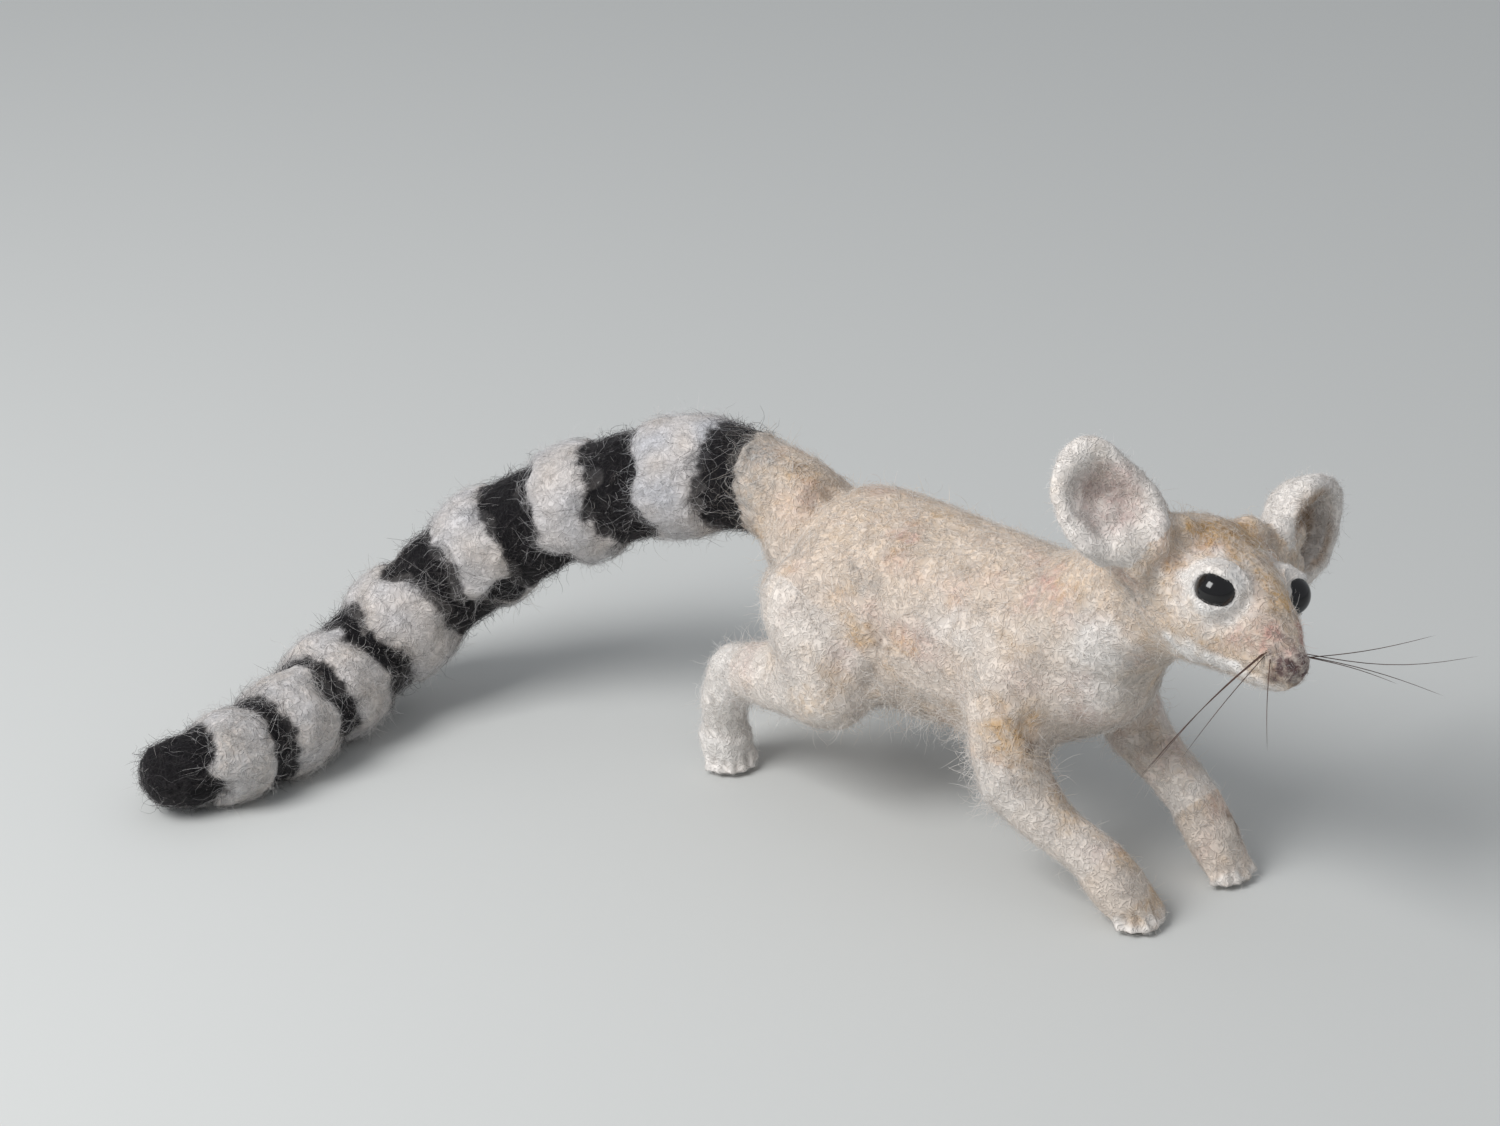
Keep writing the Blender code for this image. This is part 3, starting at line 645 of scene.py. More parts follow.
# %% Add the broad colours and the ears' lining
# How white the wool of some pieces is.
PALE = {"ear": 0.7, "hind_paw": 0.85, "hock": 0.75, "thigh": 0.4,
        "forearm_left": 0.5, "forearm_right": 0.3, "upper_arm": 0.5, "chest": 0.1}
# Each dye's broad patches: their size in millimetres, a seed for the noise and their strength.
PATCHES = {"ochre": (4.0, 4, 0.42), "rose": (5.0, 6, 0.28), "grey": (6.0, 7, 0.26)}
BACK_OCHRE = 0.25
BACK_HEIGHT = (30, 41)  # where the browner wool of the back sets in and is full, in millimetres
LINING_REACH = {"right": (3.0, 5.6), "left": (4.4, 5.8)}
# The far (left) ear's lining takes brown and ochre and loses nearly all its white: partly its own lining,
# partly painted shade in its deep hollow.
LINING_AND_SHADE_TINTS = {"right": {"rose": 0.6, "mauve": 0.2}, "left": {"rose": 0.1, "brown": 0.5, "ochre": 0.6}}
LINING_CLEARS = {"right": 0.35, "left": 0.95}  # the share of the white that a lining covers
BAND_STAIN = 0.15  # how much of the other dyes the tail's bands and the eye rings take


def add_broad_colours(amount, points, owner):
    cream = ~(is_banded(owner) | is_on(owner, "eye_ring", "nose"))
    for dye, (size, seed, strength) in PATCHES.items():
        patches = strength * smooth_step(soft_noise(points, size, seed), 0.0, 0.7)
        lay_dye(amount, dye, patches * cream)
    height = smooth_step(points[:, 2] / MM, *BACK_HEIGHT)
    on_back = is_on(owner, "haunches", "chest", "tail_root", "neck", "head")
    lay_dye(amount, "ochre", BACK_OCHRE * height * on_back)
    for name, white in PALE.items():
        lay_dye(amount, "white", is_on(owner, name) * white)


# Tints the ears' linings; in the far ear the brown is partly painted shade in the deep hollow.
def line_and_shade_the_ears(amount, points, normals, owner):
    for side in SIDES:
        hub, opening, _ = rims[side]
        away = points - hub
        across = np.linalg.norm(away - (away @ opening)[:, None] * opening, axis=1) / MM
        inside = is_on(owner, f"ear_{side}") * smooth_step(normals @ opening, 0.1, 0.5)
        inside = inside * (1 - smooth_step(across, *LINING_REACH[side]))
        for dye, strength in LINING_AND_SHADE_TINTS[side].items():
            lay_dye(amount, dye, inside * strength)
        amount["white"] = amount["white"] * (1 - inside * LINING_CLEARS[side])


def dyes_at(points, normals, owner, soft):
    """The amount of every dye in DYES at some points, from 0 to 1."""
    amount = spread_dabs(points)
    add_broad_colours(amount, points, owner)
    line_and_shade_the_ears(amount, points, normals, owner)
    banded = is_banded(owner)
    nearest = [light_owner[light_tree.find_nearest(point)[2]] for point in points[banded]]
    banded[banded] = np.array(nearest) != "tail_root"
    plain = np.where(banded | is_on(owner, "eye_ring"), BAND_STAIN, 1.0)
    for dye in ("ochre", "rose", "brown", "mauve", "grey"):
        amount[dye] = amount[dye] * plain
    order = np.array([TAIL.index(name) / len(TAIL) if name in TAIL else 0 for name in WOOL])[owner]
    lay_dye(amount, "grey", banded * order**2)
    # The tail's white bands get a cool white that is darker than the body's white: partly the tail wool's
    # own colour, partly painted shade.
    frost_and_shade_share = 0.75 + 0.6 * soft_noise(points, 4.0, 51)
    amount["frost_and_shade"] = np.clip(banded * frost_and_shade_share * (1 - 0.5 * order), 0, 1)
    amount["black"] = band_darkness(points, owner, soft)
    return np.stack([amount[dye] for dye in DYES], axis=1)


# %% [markdown]
# ## Small forms pressed into the skin
# A felter draws a line by stabbing the needle along it again and again. Each such line, at the mouth,
# between the toes, in the folds of the legs, is a short path here, and the skin sinks near it.

# %% Draw the needled lines
MOUTH = [(9.6, 0.8, -8.4), (8.0, 2.9, -8.0), (5.6, 4.2, -7.8), (3.0, 5.4, -7.4)]
LOWER_LID = [(-0.6, 8.3, -4.4), (1.6, 7.3, -4.6), (3.8, 5.8, -3.2), (5.0, 4.8, -1.4)]
NOSTRIL = [(11.4, 1.1, -5.4), (11.0, 2.0, -5.0)]
PHILTRUM = [(11.4, 0.0, -6.4), (10.6, 0.0, -8.2)]
RUMP_FOLD = [(0.33, 0.5, 0.93), (0.32, 0.38, 0.90), (0.32, 0.24, 0.83), (0.28, 0.14, 0.73),
             (0.22, 0.10, 0.62), (0.13, 0.22, 0.54), (0.06, 0.5, 0.51)]
THIGH_FOLD = [(0.81, 0.05, 0.66), (0.83, 0.02, 0.52), (0.82, 0.03, 0.38), (0.78, 0.08, 0.26)]
ELBOW_FOLD = [(0.60, 0.14, 0.36), (0.65, 0.17, 0.26), (0.68, 0.27, 0.17)]

# Each line is its path in the solid model, its half-width and its depth in millimetres.
LINES = [([on_face(*point) for point in PHILTRUM], 0.35, 0.4)]
for flip in (1, -1):
    for path, *size in ((MOUTH, 0.5, 0.5), (LOWER_LID, 0.6, 0.45), (NOSTRIL, 0.5, 0.7)):
        LINES.append(([on_face(x, y * flip, z) for x, y, z in path], *size))
for node, path, *size in (("haunches", RUMP_FOLD, 1.7, 1.7), ("haunches", THIGH_FOLD, 1.3, 0.8),
                          ("chest", ELBOW_FOLD, 1.3, 0.8)):
    LINES += [([place_on(node, *place) for place in path], *size) for place_on in (spot, mirrored)]
for paw in PAW_FACING:
    back, front = (toe_places(paw, reach, up, True) for reach, up in ((2.2, 3.0), (4.4, 1.6)))
    LINES += [([a, b], 0.5, 0.5) for (a, _), (b, _) in zip(back, front)]


def line_depth(points, path, half_width, depth):
    """How far points sink near a path, in metres."""
    nearest = np.full(len(points), 1e9)
    for a, b in zip(path, path[1:]):
        a, b = np.array(a), np.array(b)
        along = np.clip((points - a) @ (b - a) / ((b - a) @ (b - a)), 0, 1)
        nearest = np.minimum(nearest, np.linalg.norm(points - a - along[:, None] * (b - a), axis=1))
    return depth * MM * bell(nearest, half_width)


print(len(LINES), "needled lines")

# %% [markdown]
# Before the lines go in, the whole skin sinks by the nap's depth, so that the hairs' tips reach the size
# of the solids. White bands are fluffier than the charcoal ones, so they swell. Noise adds lumps, the
# corner of each eye is hollowed until the front of the bead shows, and the ankles are drawn in.

# %% Shape the skin and press in the lines
# Each eye corner's distance from the bead's middle, its half-width and its depth, in millimetres.
CORNERS = {"right": (3.5, 1.3, 0.9), "left": (3.2, 1.5, 2.4)}
CORNER_TURNS = (-50, -20, 5, 30, 55)  # degrees up from the way that leads to the nose
CORNER_OUT = 0.5  # how far outwards from the bead's middle the corner's path lies
# Places in the face's frame that are drawn aside: reach and the way they move, in millimetres.
PULLS = (((-10.8, -12.2, 12.0), 4.4, (0.0, -1.1, -1.9)), ((-14.4, -19.6, 12.0), 3.5, (0.0, -0.5, 0.5)))
ANKLE_HEIGHT = 6.6
ANKLE_REACH = 2.4
ANKLE_WAIST = 0.17  # the share of its thickness that an ankle is drawn in by
WHITE_SWELL = 0.7  # how far the tail's white bands swell, in millimetres
DARK_DIP = 1.15  # how far below them the dark bands lie
QUIET_BEADS = 1.6  # within this many millimetres of the glass the skin sinks less and less


def near_beads(points, reach):
    """1 on the beads, falling to 0 at this many millimetres from their glass."""
    near = np.zeros(len(points))
    for side in SIDES:
        away = how_far(points, middle(f"eye_{side}")) - BEAD_RADIUS
        near = np.maximum(near, 1 - smooth_step(away / MM, reach * 0.4, reach))
    return near


def inner_corner(side):
    """The hollow between an eye and the bridge of the nose, which bares the front of the bead."""
    centre, out, upright = eye_axes(side)
    front = out.cross(upright)
    front *= 1 if front.dot(face_way(1, 0, 0)) > 0 else -1
    away, half_width, depth = CORNERS[side]
    path = []
    for turn in map(radians, CORNER_TURNS):
        path.append(centre + ((front * cos(turn) + upright * sin(turn)) * away + out * CORNER_OUT) * MM)
    return path, half_width, depth


def smooth_skin(times):
    bm = bmesh.new()
    bm.from_mesh(skin.data)
    for _ in range(times):
        bmesh.ops.smooth_vert(
            bm, verts=bm.verts, factor=0.5, use_axis_x=True, use_axis_y=True, use_axis_z=True
        )
    bm.to_mesh(skin.data)
    bm.free()


points, normals = read_surface(skin.data)
owner = owners_of(points)
dark = band_darkness(points, owner, 2.0)
sink = per_part(0)[owner] * MM + GROWTH
sink -= np.where(is_banded(owner), (WHITE_SWELL - DARK_DIP * dark) * MM, 0)
lumps = 0.20 * soft_noise(points, 5.0, 11) + 0.08 * soft_noise(points, 1.8, 12)
sink -= np.where(is_on(owner, "nose", "eye_ring"), 0.4, 1.0) * lumps * MM
sink -= is_on(owner, "ear") * 0.30 * MM * soft_noise(points, 3.0, 13)
sink *= 1 - near_beads(points, QUIET_BEADS)
points = points - normals * sink[:, None]
for side in SIDES:
    out = np.array(eye_axes(side)[1])
    points = points - out * line_depth(points, *inner_corner(side))[:, None]
for place, reach, move in PULLS:
    points = points + np.array(face_way(*move)) * bell(how_far(points, on_face(*place)), reach)[:, None]
for side in SIDES:
    height = (points[:, 2] / MM - ANKLE_HEIGHT) / ANKLE_REACH
    ankle = is_on(owner, f"hock_{side}") * np.exp(-(height**2))
    inwards = np.array(middle(f"hind_paw_{side}")) - points
    inwards[:, 2] = 0
    points = points + inwards * (ankle * ANKLE_WAIST)[:, None]
write_points(skin.data, points)
smooth_skin(2)

points, normals = read_surface(skin.data)
sink = sum(line_depth(points, *line) for line in LINES)
write_points(skin.data, points - normals * sink[:, None])
print("lines are at most", round(sink.max() / MM, 2), "mm deep")

# %% [markdown]
# ## Eyes
# Each eye is a round black glass bead, pulled into a white felt ring. It takes its place and size from
# the solid one. Skin that faces a bead is laid against the glass, so that no gap shows, and the skin
# that would sink through the floor is kept on it.

# %% Lay the skin against the beads and the floor
LAP = 0.08 * MM  # how far the skin reaches into the glass
SKIN_FLOOR = 0.02 * MM

points, normals = read_surface(skin.data)
for side in SIDES:
    away = points - np.array(middle(f"eye_{side}"))
    length = np.linalg.norm(away, axis=1)
    faces_bead = smooth_step(-(normals * away).sum(axis=1) / length, 0.3, 0.8)
    hold = faces_bead * (1 - smooth_step(length, BEAD_RADIUS + 0.5 * MM, BEAD_RADIUS + 1.2 * MM))
    points = points + away * ((BEAD_RADIUS - LAP) / length - 1)[:, None] * hold[:, None]
points[:, 2] = np.maximum(points[:, 2], SKIN_FLOOR)
write_points(skin.data, points)
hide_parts(*WOOL)
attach(skin, "root")


# %% Make the glass beads
def glass_bead(side):
    bm = bmesh.new()
    centre, out, _ = eye_axes(side)
    place = Matrix.Translation(centre) @ out.to_track_quat("Z", "Y").to_matrix().to_4x4()
    bmesh.ops.create_uvsphere(bm, u_segments=48, v_segments=32, radius=BEAD_RADIUS, matrix=place)
    bead = link(f"bead_{side}", mesh_from(bm, f"bead_{side}"))
    bead.data.shade_smooth()
    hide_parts(f"eye_{side}")
    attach(bead, "root")
    return bead


beads = [glass_bead(side) for side in SIDES]
print("beads:", [bead.name for bead in beads])


# %% [markdown]
# ## Materials
# Wool is matt, but each fibre is a clear, scaly rod, so a felted surface glows a little at its edges,
# which the Principled shader's sheen gives. The dyes' amounts come in as attributes and are mixed in
# the order in which the maker laid them on. Fine noise breaks them into specks, as carding leaves them.

# %% Colour and node helpers
def hex_colour(code):
    """A linear colour from an sRGB hex code."""
    shares = [int(code[k : k + 2], 16) / 255 for k in (1, 3, 5)]
    return tuple(s / 12.92 if s <= 0.04045 else ((s + 0.055) / 1.055) ** 2.4 for s in shares) + (1.0,)


def fill(node, inputs):
    """Sets a node's inputs, each to a value or to a (node, output) pair to link from."""
    for name, value in inputs.items():
        if isinstance(value, tuple) and isinstance(value[0], bpy.types.Node):
            node.id_data.links.new(value[0].outputs[value[1]], node.inputs[name])
        else:
            node.inputs[name].default_value = value


def add_node(tree, kind, inputs=None, **settings):
    node = tree.nodes.new("ShaderNode" + kind)
    for name, value in settings.items():
        setattr(node, name, value)
    fill(node, inputs or {})
    return node


def new_material(name):
    """A material, its node tree and its shader."""
    made = bpy.data.materials.new(name)
    made.use_nodes = True
    return made, made.node_tree, made.node_tree.nodes["Principled BSDF"]


# The tail's cool white is darker than the body's white: partly its own colour, partly painted shade.
DYE_COLOURS = {"ochre": "#CDA878", "rose": "#CFA497", "brown": "#6A5140", "mauve": "#655250",
               "grey": "#B3ADA7", "white": "#ECE8E4", "frost_and_shade": "#C9C8CB", "black": "#0E0C0F"}
CREAM = "#DCCFC3"
SPECKLED = {"ochre": "Red", "rose": "Green", "brown": "Red", "mauve": "Blue", "grey": "Blue"}
SPECK = 1.0 * MM
SPECK_RANGE = {"From Min": 0.35, "From Max": 0.65, "To Min": 0.35, "To Max": 1.6}


def dyed_colour(tree, place):
    """Lays every dye over the cream wool, broken into specks about a millimetre across."""
    fine = {"Vector": (place, "Object"), "Scale": 1 / SPECK, "Detail": 3.0, "Roughness": 0.65}
    specks = add_node(tree, "TexNoise", fine)
    split = add_node(tree, "SeparateColor", {"Color": (specks, "Color")})
    channels = []
    for name in ("dye_a", "dye_b"):
        attribute = add_node(tree, "Attribute", attribute_name=name)
        parts = add_node(tree, "SeparateColor", {"Color": (attribute, "Color")})
        channels += [(parts, "Red"), (parts, "Green"), (parts, "Blue"), (attribute, "Alpha")]
    colour = hex_colour(CREAM)
    for dye, amount in zip(DYES, channels):
        if dye in SPECKLED:
            uneven = add_node(tree, "MapRange", {"Value": (split, SPECKLED[dye]), **SPECK_RANGE})
            broken = {0: amount, 1: (uneven, "Result")}
            amount = (add_node(tree, "Math", broken, operation="MULTIPLY", use_clamp=True), "Value")
        mixed = {"Factor": amount, 6: colour, 7: hex_colour(DYE_COLOURS[dye])}
        colour = (add_node(tree, "Mix", mixed, data_type="RGBA"), 2)
    return colour


# %% [markdown]
# A close look at felt shows single fibres that wander over each other. Drawing them all as hairs would
# take far too many, so the lowest layer is bump: a smooth noise, read through a sine, gives lines like
# the level lines on a map, which wander as matted fibres do.

# %% Wool and glass
FIBRE_SWIRL = 1.5 * MM  # size of the swirls that the drawn fibres follow
FIBRE_LAYERS = (0.0, 0.31)  # two layers of the same fibres, shifted by this much, in metres
FIBRE_WAVES = 26.0  # radians of sine over the noise's range, about four fibres


def fibre_lines(tree, place, shift):
    """Thin wandering lines, 1 on a fibre and 0 between."""
    moved = add_node(tree, "Mapping", {"Vector": (place, "Object"), "Location": (shift, shift, 0)})
    swirled = {"Vector": (moved, "Vector"), "Scale": 1 / FIBRE_SWIRL, "Detail": 1.5, "Distortion": 0.6}
    swirl = add_node(tree, "TexNoise", swirled)
    wave = add_node(tree, "Math", {0: (swirl, "Fac"), 1: FIBRE_WAVES}, operation="MULTIPLY")
    sine = add_node(tree, "Math", {0: (wave, "Value")}, operation="SINE")
    lines = {"Value": (sine, "Value"), "From Min": 0.2, "From Max": 1.0}
    return add_node(tree, "MapRange", lines, interpolation_type="SMOOTHSTEP")


def wool_material(name, is_loose):
    """Needle-felted or loose wool, dyed by the mesh's attributes."""
    made, tree, shader = new_material(name)
    fill(shader, {"Roughness": 0.85, "Sheen Weight": 0.05, "Sheen Roughness": 0.5, "IOR": 1.55,
                  "Specular IOR Level": 0.15})
    place = add_node(tree, "TexCoord")
    colour = dyed_colour(tree, place)
    tone = add_node(tree, "Attribute", attribute_name="tone")
    value = (add_node(tree, "MapRange", {"Value": (tone, "Fac"), "To Min": 0.88, "To Max": 1.12}), "Result")
    if is_loose:
        fill(shader, {"Subsurface Weight": 0.8, "Subsurface Scale": 0.15 * MM,
                      "Subsurface Radius": (1.0, 0.97, 0.94)})
    else:
        layers = {k: (fibre_lines(tree, place, shift), "Result") for k, shift in enumerate(FIBRE_LAYERS)}
        upper = add_node(tree, "Math", layers, operation="MAXIMUM")
        bump = add_node(tree, "Bump", {"Height": (upper, "Value"), "Strength": 0.9, "Distance": 0.12 * MM})
        fill(shader, {"Normal": (bump, "Normal")})
        lit = add_node(tree, "MapRange", {"Value": (upper, "Value"), "To Min": 0.88, "To Max": 1.06})
        value = (add_node(tree, "Math", {0: value, 1: (lit, "Result")}, operation="MULTIPLY"), "Value")
    shaded = add_node(tree, "HueSaturation", {"Color": colour, "Value": value})
    fill(shader, {"Base Color": (shaded, "Color")})
    return made


def glass_material():
    """Black glass: no light passes, and the polished face mirrors the window."""
    made, tree, shader = new_material("black_glass_bead")
    place = add_node(tree, "TexCoord")
    wipe = add_node(tree, "TexNoise", {"Vector": (place, "Object"), "Scale": 1 / (0.9 * MM), "Detail": 3.0})
    rough = add_node(tree, "MapRange", {"Value": (wipe, "Fac"), "To Min": 0.05, "To Max": 0.2})
    fill(shader, {"Base Color": hex_colour("#0B090B"), "IOR": 1.52, "Roughness": (rough, "Result")})
    return made


felt = wool_material("needle_felted_wool", False)
loose_wool = wool_material("carded_wool_fibre", True)
bead_glass = glass_material()
for bead in beads:
    bead.data.materials.append(bead_glass)
print("materials:", [felt.name, loose_wool.name, bead_glass.name])


# %% Dye the skin
SKIN_EDGE = 0.9  # how soft the bands' edges are on the skin, in millimetres
RAGGED = 2.4  # how far the hairs of neighbouring bands run into each other


def store_dyes(mesh, dyes, tone):
    """Writes the dyes' amounts and the tone to a mesh's points."""
    for name, part in (("dye_a", dyes[:, :4]), ("dye_b", dyes[:, 4:])):
        attribute = mesh.attributes.new(name, "FLOAT_COLOR", "POINT")
        attribute.data.foreach_set("color", np.ascontiguousarray(part, dtype=np.float32).ravel())
    attribute = mesh.attributes.new("tone", "FLOAT", "POINT")
    attribute.data.foreach_set("value", np.asarray(tone, dtype=np.float32))


points, normals = read_surface(skin.data)
owner = owners_of(points)
skin_dyes = dyes_at(points, normals, owner, SKIN_EDGE)
store_dyes(skin.data, skin_dyes, 0.5 + 0.25 * soft_noise(points, 2.5, 41))
hair_dyes = skin_dyes.copy()
hair_dyes[:, DYES.index("black")] = band_darkness(points, owner, RAGGED)
skin.data.materials.clear()
skin.data.materials.append(felt)
skin.data.shade_smooth()
print("skin dyed:", dict(zip(DYES, skin_dyes.mean(axis=0).round(2))))

# %% [markdown]
# ## The nap
# The nap is some tens of thousands of short hairs that lie on the skin and cross each other. Particle
# hair would be the editor's way, but it isn't mesh, so each hair is a thin three-sided tube, and all of
# them are made at once as arrays. Their roots are scattered by area, closer where hairs are short.

# %% Scatter roots over the skin
rng = np.random.default_rng(7)


def unwrap_skin():
    """Unfolds the skin, so that each hair knows its root's place on a flat sheet."""
    bpy.context.view_layer.objects.active = skin
    skin.select_set(True)
    bpy.ops.object.mode_set(mode="EDIT")
    bpy.ops.mesh.select_all(action="SELECT")
    bpy.ops.uv.smart_project(angle_limit=radians(66), island_margin=0.002)
    bpy.ops.object.mode_set(mode="OBJECT")


class Ground:
    """The skin as triangles to scatter hair roots on."""

    def __init__(self, mesh, owner, dyes):
        mesh.calc_loop_triangles()
        triangles = mesh.loop_triangles
        self.corners = read(triangles, "vertices", 3, np.int32)
        self.areas = read(triangles, "area")
        self.flat = read(mesh.uv_layers.active.data, "uv", 2)[read(triangles, "loops", 3, np.int32)]
        self.points, self.normals = read_surface(mesh)
        self.owner = owner
        self.dyes = dyes
        self.tree = BVHTree.FromPolygons([Vector(p) for p in self.points], self.corners.tolist())
        print("skin:", len(triangles), "triangles,", round(self.areas.sum() / MM**2), "square mm")

    def scatter(self, count, density):
        """Roots, normals, owners, dyes and places on the unfolded sheet."""
        weight = self.areas * density[self.corners[:, 0]]
        chosen = rng.choice(len(weight), size=count, p=weight / weight.sum())
        share = rng.random((count, 2))
        share = np.where(share.sum(axis=1, keepdims=True) > 1, 1 - share, share)
        share = np.column_stack([1 - share.sum(axis=1), share])[:, :, None]
        corners = self.corners[chosen]
        root = (self.points[corners] * share).sum(axis=1)
        normal = unit((self.normals[corners] * share).sum(axis=1))
        dyes = (self.dyes[corners] * share).sum(axis=1)
        return root, normal, self.owner[corners[:, 0]], dyes, (self.flat[chosen] * share).sum(axis=1)


unwrap_skin()
ground = Ground(skin.data, owner, hair_dyes)
skin.data.uv_layers.remove(skin.data.uv_layers.active)
usual_density = per_part(3)[owner]

# %% [markdown]
# Hairs follow the lie of the coat: back along the body, down the legs, out along the tail. Felting
# swirls them, so the lie is mixed with a slowly changing random direction before each hair sets off.

# %% The lie of the coat
SWIRL_SIZE = 3.5
STRAYING = 0.45  # how much each hair's own random direction counts


def lie_of_coat():
    """The way the hairs lie on every piece in WOOL."""
    lie = {name: Vector((-1, 0, -0.15)) for name in WOOL}
    for name in PARTS["leg"] + PARTS["paw"]:
        lie[name] = Vector((0, 0, -1))
    for side in SIDES:
        lie[f"forearm_{side}"] = middle(f"fore_paw_{side}") - middle(f"forearm_{side}")
        lie[f"thigh_{side}"] = Vector((-0.6, 0, -0.8))
        lie[f"ear_{side}"] = middle(f"ear_{side}") - middle("head")
    for name in ("head", "nose", "eye_ring_left", "eye_ring_right"):
        lie[name] = face_way(-1, 0, -0.1)
    for name, after in zip(TAIL, TAIL[1:]):
        lie[name] = middle(after) - middle(name)
    lie["tail_tip"] = lie["tail_white_7"]
    return np.array([lie[name].normalized() for name in WOOL])


LIE = lie_of_coat()


def in_plane(heading, normal):
    """Unit directions turned into the planes that face along the normals."""
    return unit(heading - normal * (heading * normal).sum(axis=1, keepdims=True))


def lying_direction(root, normal, owner, order):
    """A unit direction in the skin's plane at each root. Order 1 follows the lie, 0 is a swirl."""
    swirl = soft_shake(root, SWIRL_SIZE, 21)
    stray = rng.normal(size=root.shape)
    return in_plane(LIE[owner] * order + unit(swirl) * (1 - order) + stray * STRAYING, normal)


print("the nose's hairs lie along", LIE[WOOL.index("nose")].round(2))

# %% [markdown]
# One function turns paths into hairs. Each joint of a path gets a ring of points, joined ring to ring
# and closed at the tip. The faces of one hair are worked out once and shifted for all the others. In
# the map called OFBake, every hair owns a tiny patch at its root's place on the sheet.

# %% Build hairs from their paths
PATCH = 0.003
PIECE_LIMIT = 190_000  # triangles in one piece
HAIR_FLOOR = 0.01 * MM  # above the solid model's underside


def hair_faces(joints, sides=3):
    """The triangles of one hair of so many joints, as numbers of its own points."""
    faces = [(0, sides - 1 - k, sides - 2 - k) for k in range(sides - 2)]
    for ring in range(joints - 2):
        for k in range(sides):
            a, b = ring * sides + k, ring * sides + (k + 1) % sides
            faces += [(a, b, b + sides), (a, b + sides, a + sides)]
    last, tip = (joints - 2) * sides, (joints - 1) * sides
    return np.array(faces + [(last + k, last + (k + 1) % sides, tip) for k in range(sides)])


def hair_piece(name, paths, widths, dyes, tone, places, material, sides=3):
    """One mesh of closed, tapered hairs."""
    hairs, joints = paths.shape[:2]
    ahead = unit(np.gradient(paths, axis=1))
    helper = unit(rng.normal(size=(hairs, 1, 3)))
    side = unit(np.cross(ahead, helper))
    rise = np.cross(ahead, side)
    rings = []
    for angle in [2 * pi * k / sides for k in range(sides)]:
        spoke = side * cos(angle) + rise * sin(angle)
        rings.append(paths[:, :-1] + widths[:, :-1, None] * spoke[:, :-1])
    body = np.stack(rings, axis=2).reshape(hairs, -1, 3)
    points = np.concatenate([body, paths[:, -1:]], axis=1)
    points[:, :, 2] = np.maximum(points[:, :, 2], cad_box[0].z + HAIR_FLOOR)
    size = points.shape[1]
    corners = (hair_faces(joints, sides)[None] + np.arange(hairs)[:, None, None] * size).reshape(-1)
    mesh = bpy.data.meshes.new(name)
    mesh.vertices.add(hairs * size)
    mesh.vertices.foreach_set("co", points.reshape(-1))
    mesh.loops.add(len(corners))
    mesh.loops.foreach_set("vertex_index", corners.astype(np.int32))
    mesh.polygons.add(len(corners) // 3)
    mesh.polygons.foreach_set("loop_start", np.arange(0, len(corners), 3, dtype=np.int32))
    mesh.update(calc_edges=True)
    number = np.arange(size)
    patch = np.stack([number // sides / joints, number % sides / sides], axis=1) * PATCH
    corner_place = (places[:, None] + patch[None]).reshape(-1, 2)[corners]
    mesh.uv_layers.new(name="OFBake").data.foreach_set("uv", corner_place.reshape(-1))
    store_dyes(mesh, np.repeat(dyes, size, axis=0), np.repeat(tone, size))
    mesh.materials.append(material)
    mesh.shade_smooth()
    piece = link(name, mesh)
    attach(piece, "root")


def hair_pieces(name, paths, *rest):
    """As many pieces as the triangle limit asks for, each with neighbouring hairs."""
    each = len(hair_faces(paths.shape[1]))
    order = np.argsort(paths[:, 0, 0])
    parts = np.array_split(order, -(-len(paths) * each // PIECE_LIMIT))
    for k, part in enumerate(parts):
        hair_piece(f"{name}_{k + 1}", paths[part], *[values[part] for values in rest], loose_wool)
    print(name, len(paths), "hairs in", len(parts), "pieces")


def taper(joints, tip=0.3):
    return 1 - (1 - tip) * np.linspace(0, 1, joints) ** 2


def stray_dyes(dyes, paler):
    """Lets some hairs stray in colour, as carded wool does, and a share of the dark ones be pale."""
    dyes = dyes.copy()
    white, frost_and_shade, black = (DYES.index(dye) for dye in ("white", "frost_and_shade", "black"))
    dyes[:, : white + 1] *= rng.uniform(0.4, 1.4, (len(dyes), white + 1))
    is_dark = dyes[:, black] > rng.uniform(0.15, 0.85, len(dyes))
    dyes[:, black] = is_dark * rng.uniform(0.96, 1.0, len(dyes))
    swapped = rng.random(len(dyes))
    pale = (swapped < paler) & (dyes[:, black] > 0.5)
    sooty = (swapped > 0.9) & (dyes[:, black] < 0.5) & (dyes[:, frost_and_shade] > 0.3)
    dyes[pale, black] = rng.uniform(0.1, 0.6, pale.sum())
    dyes[sooty, black] = rng.uniform(0.4, 0.9, sooty.sum())
    bleached = (rng.random(len(dyes)) < 0.2) & (dyes[:, frost_and_shade] < 0.3)
    dyes[bleached, white] = np.maximum(dyes[bleached, white], 0.7)
    return np.clip(dyes, 0, 1)


print(len(hair_faces(5)), "triangles in a hair of the nap")

# %% [markdown]
# A lying hair takes a few steps over the skin. After each one it is set back onto the skin, a little
# higher than before, so that it hugs the form and only its tip lifts off, and its heading turns a
# little. Short hairs fill the nap, and fewer long ones wander over them.

# %% Lay the nap
NAP_HAIRS = 30_000
WANDERING_HAIRS = 9_000
STANDING_SHARE = 0.25  # the share of hairs whose tips stand up
NAP_ROOT = 0.08 * MM  # how deep a root starts below the skin


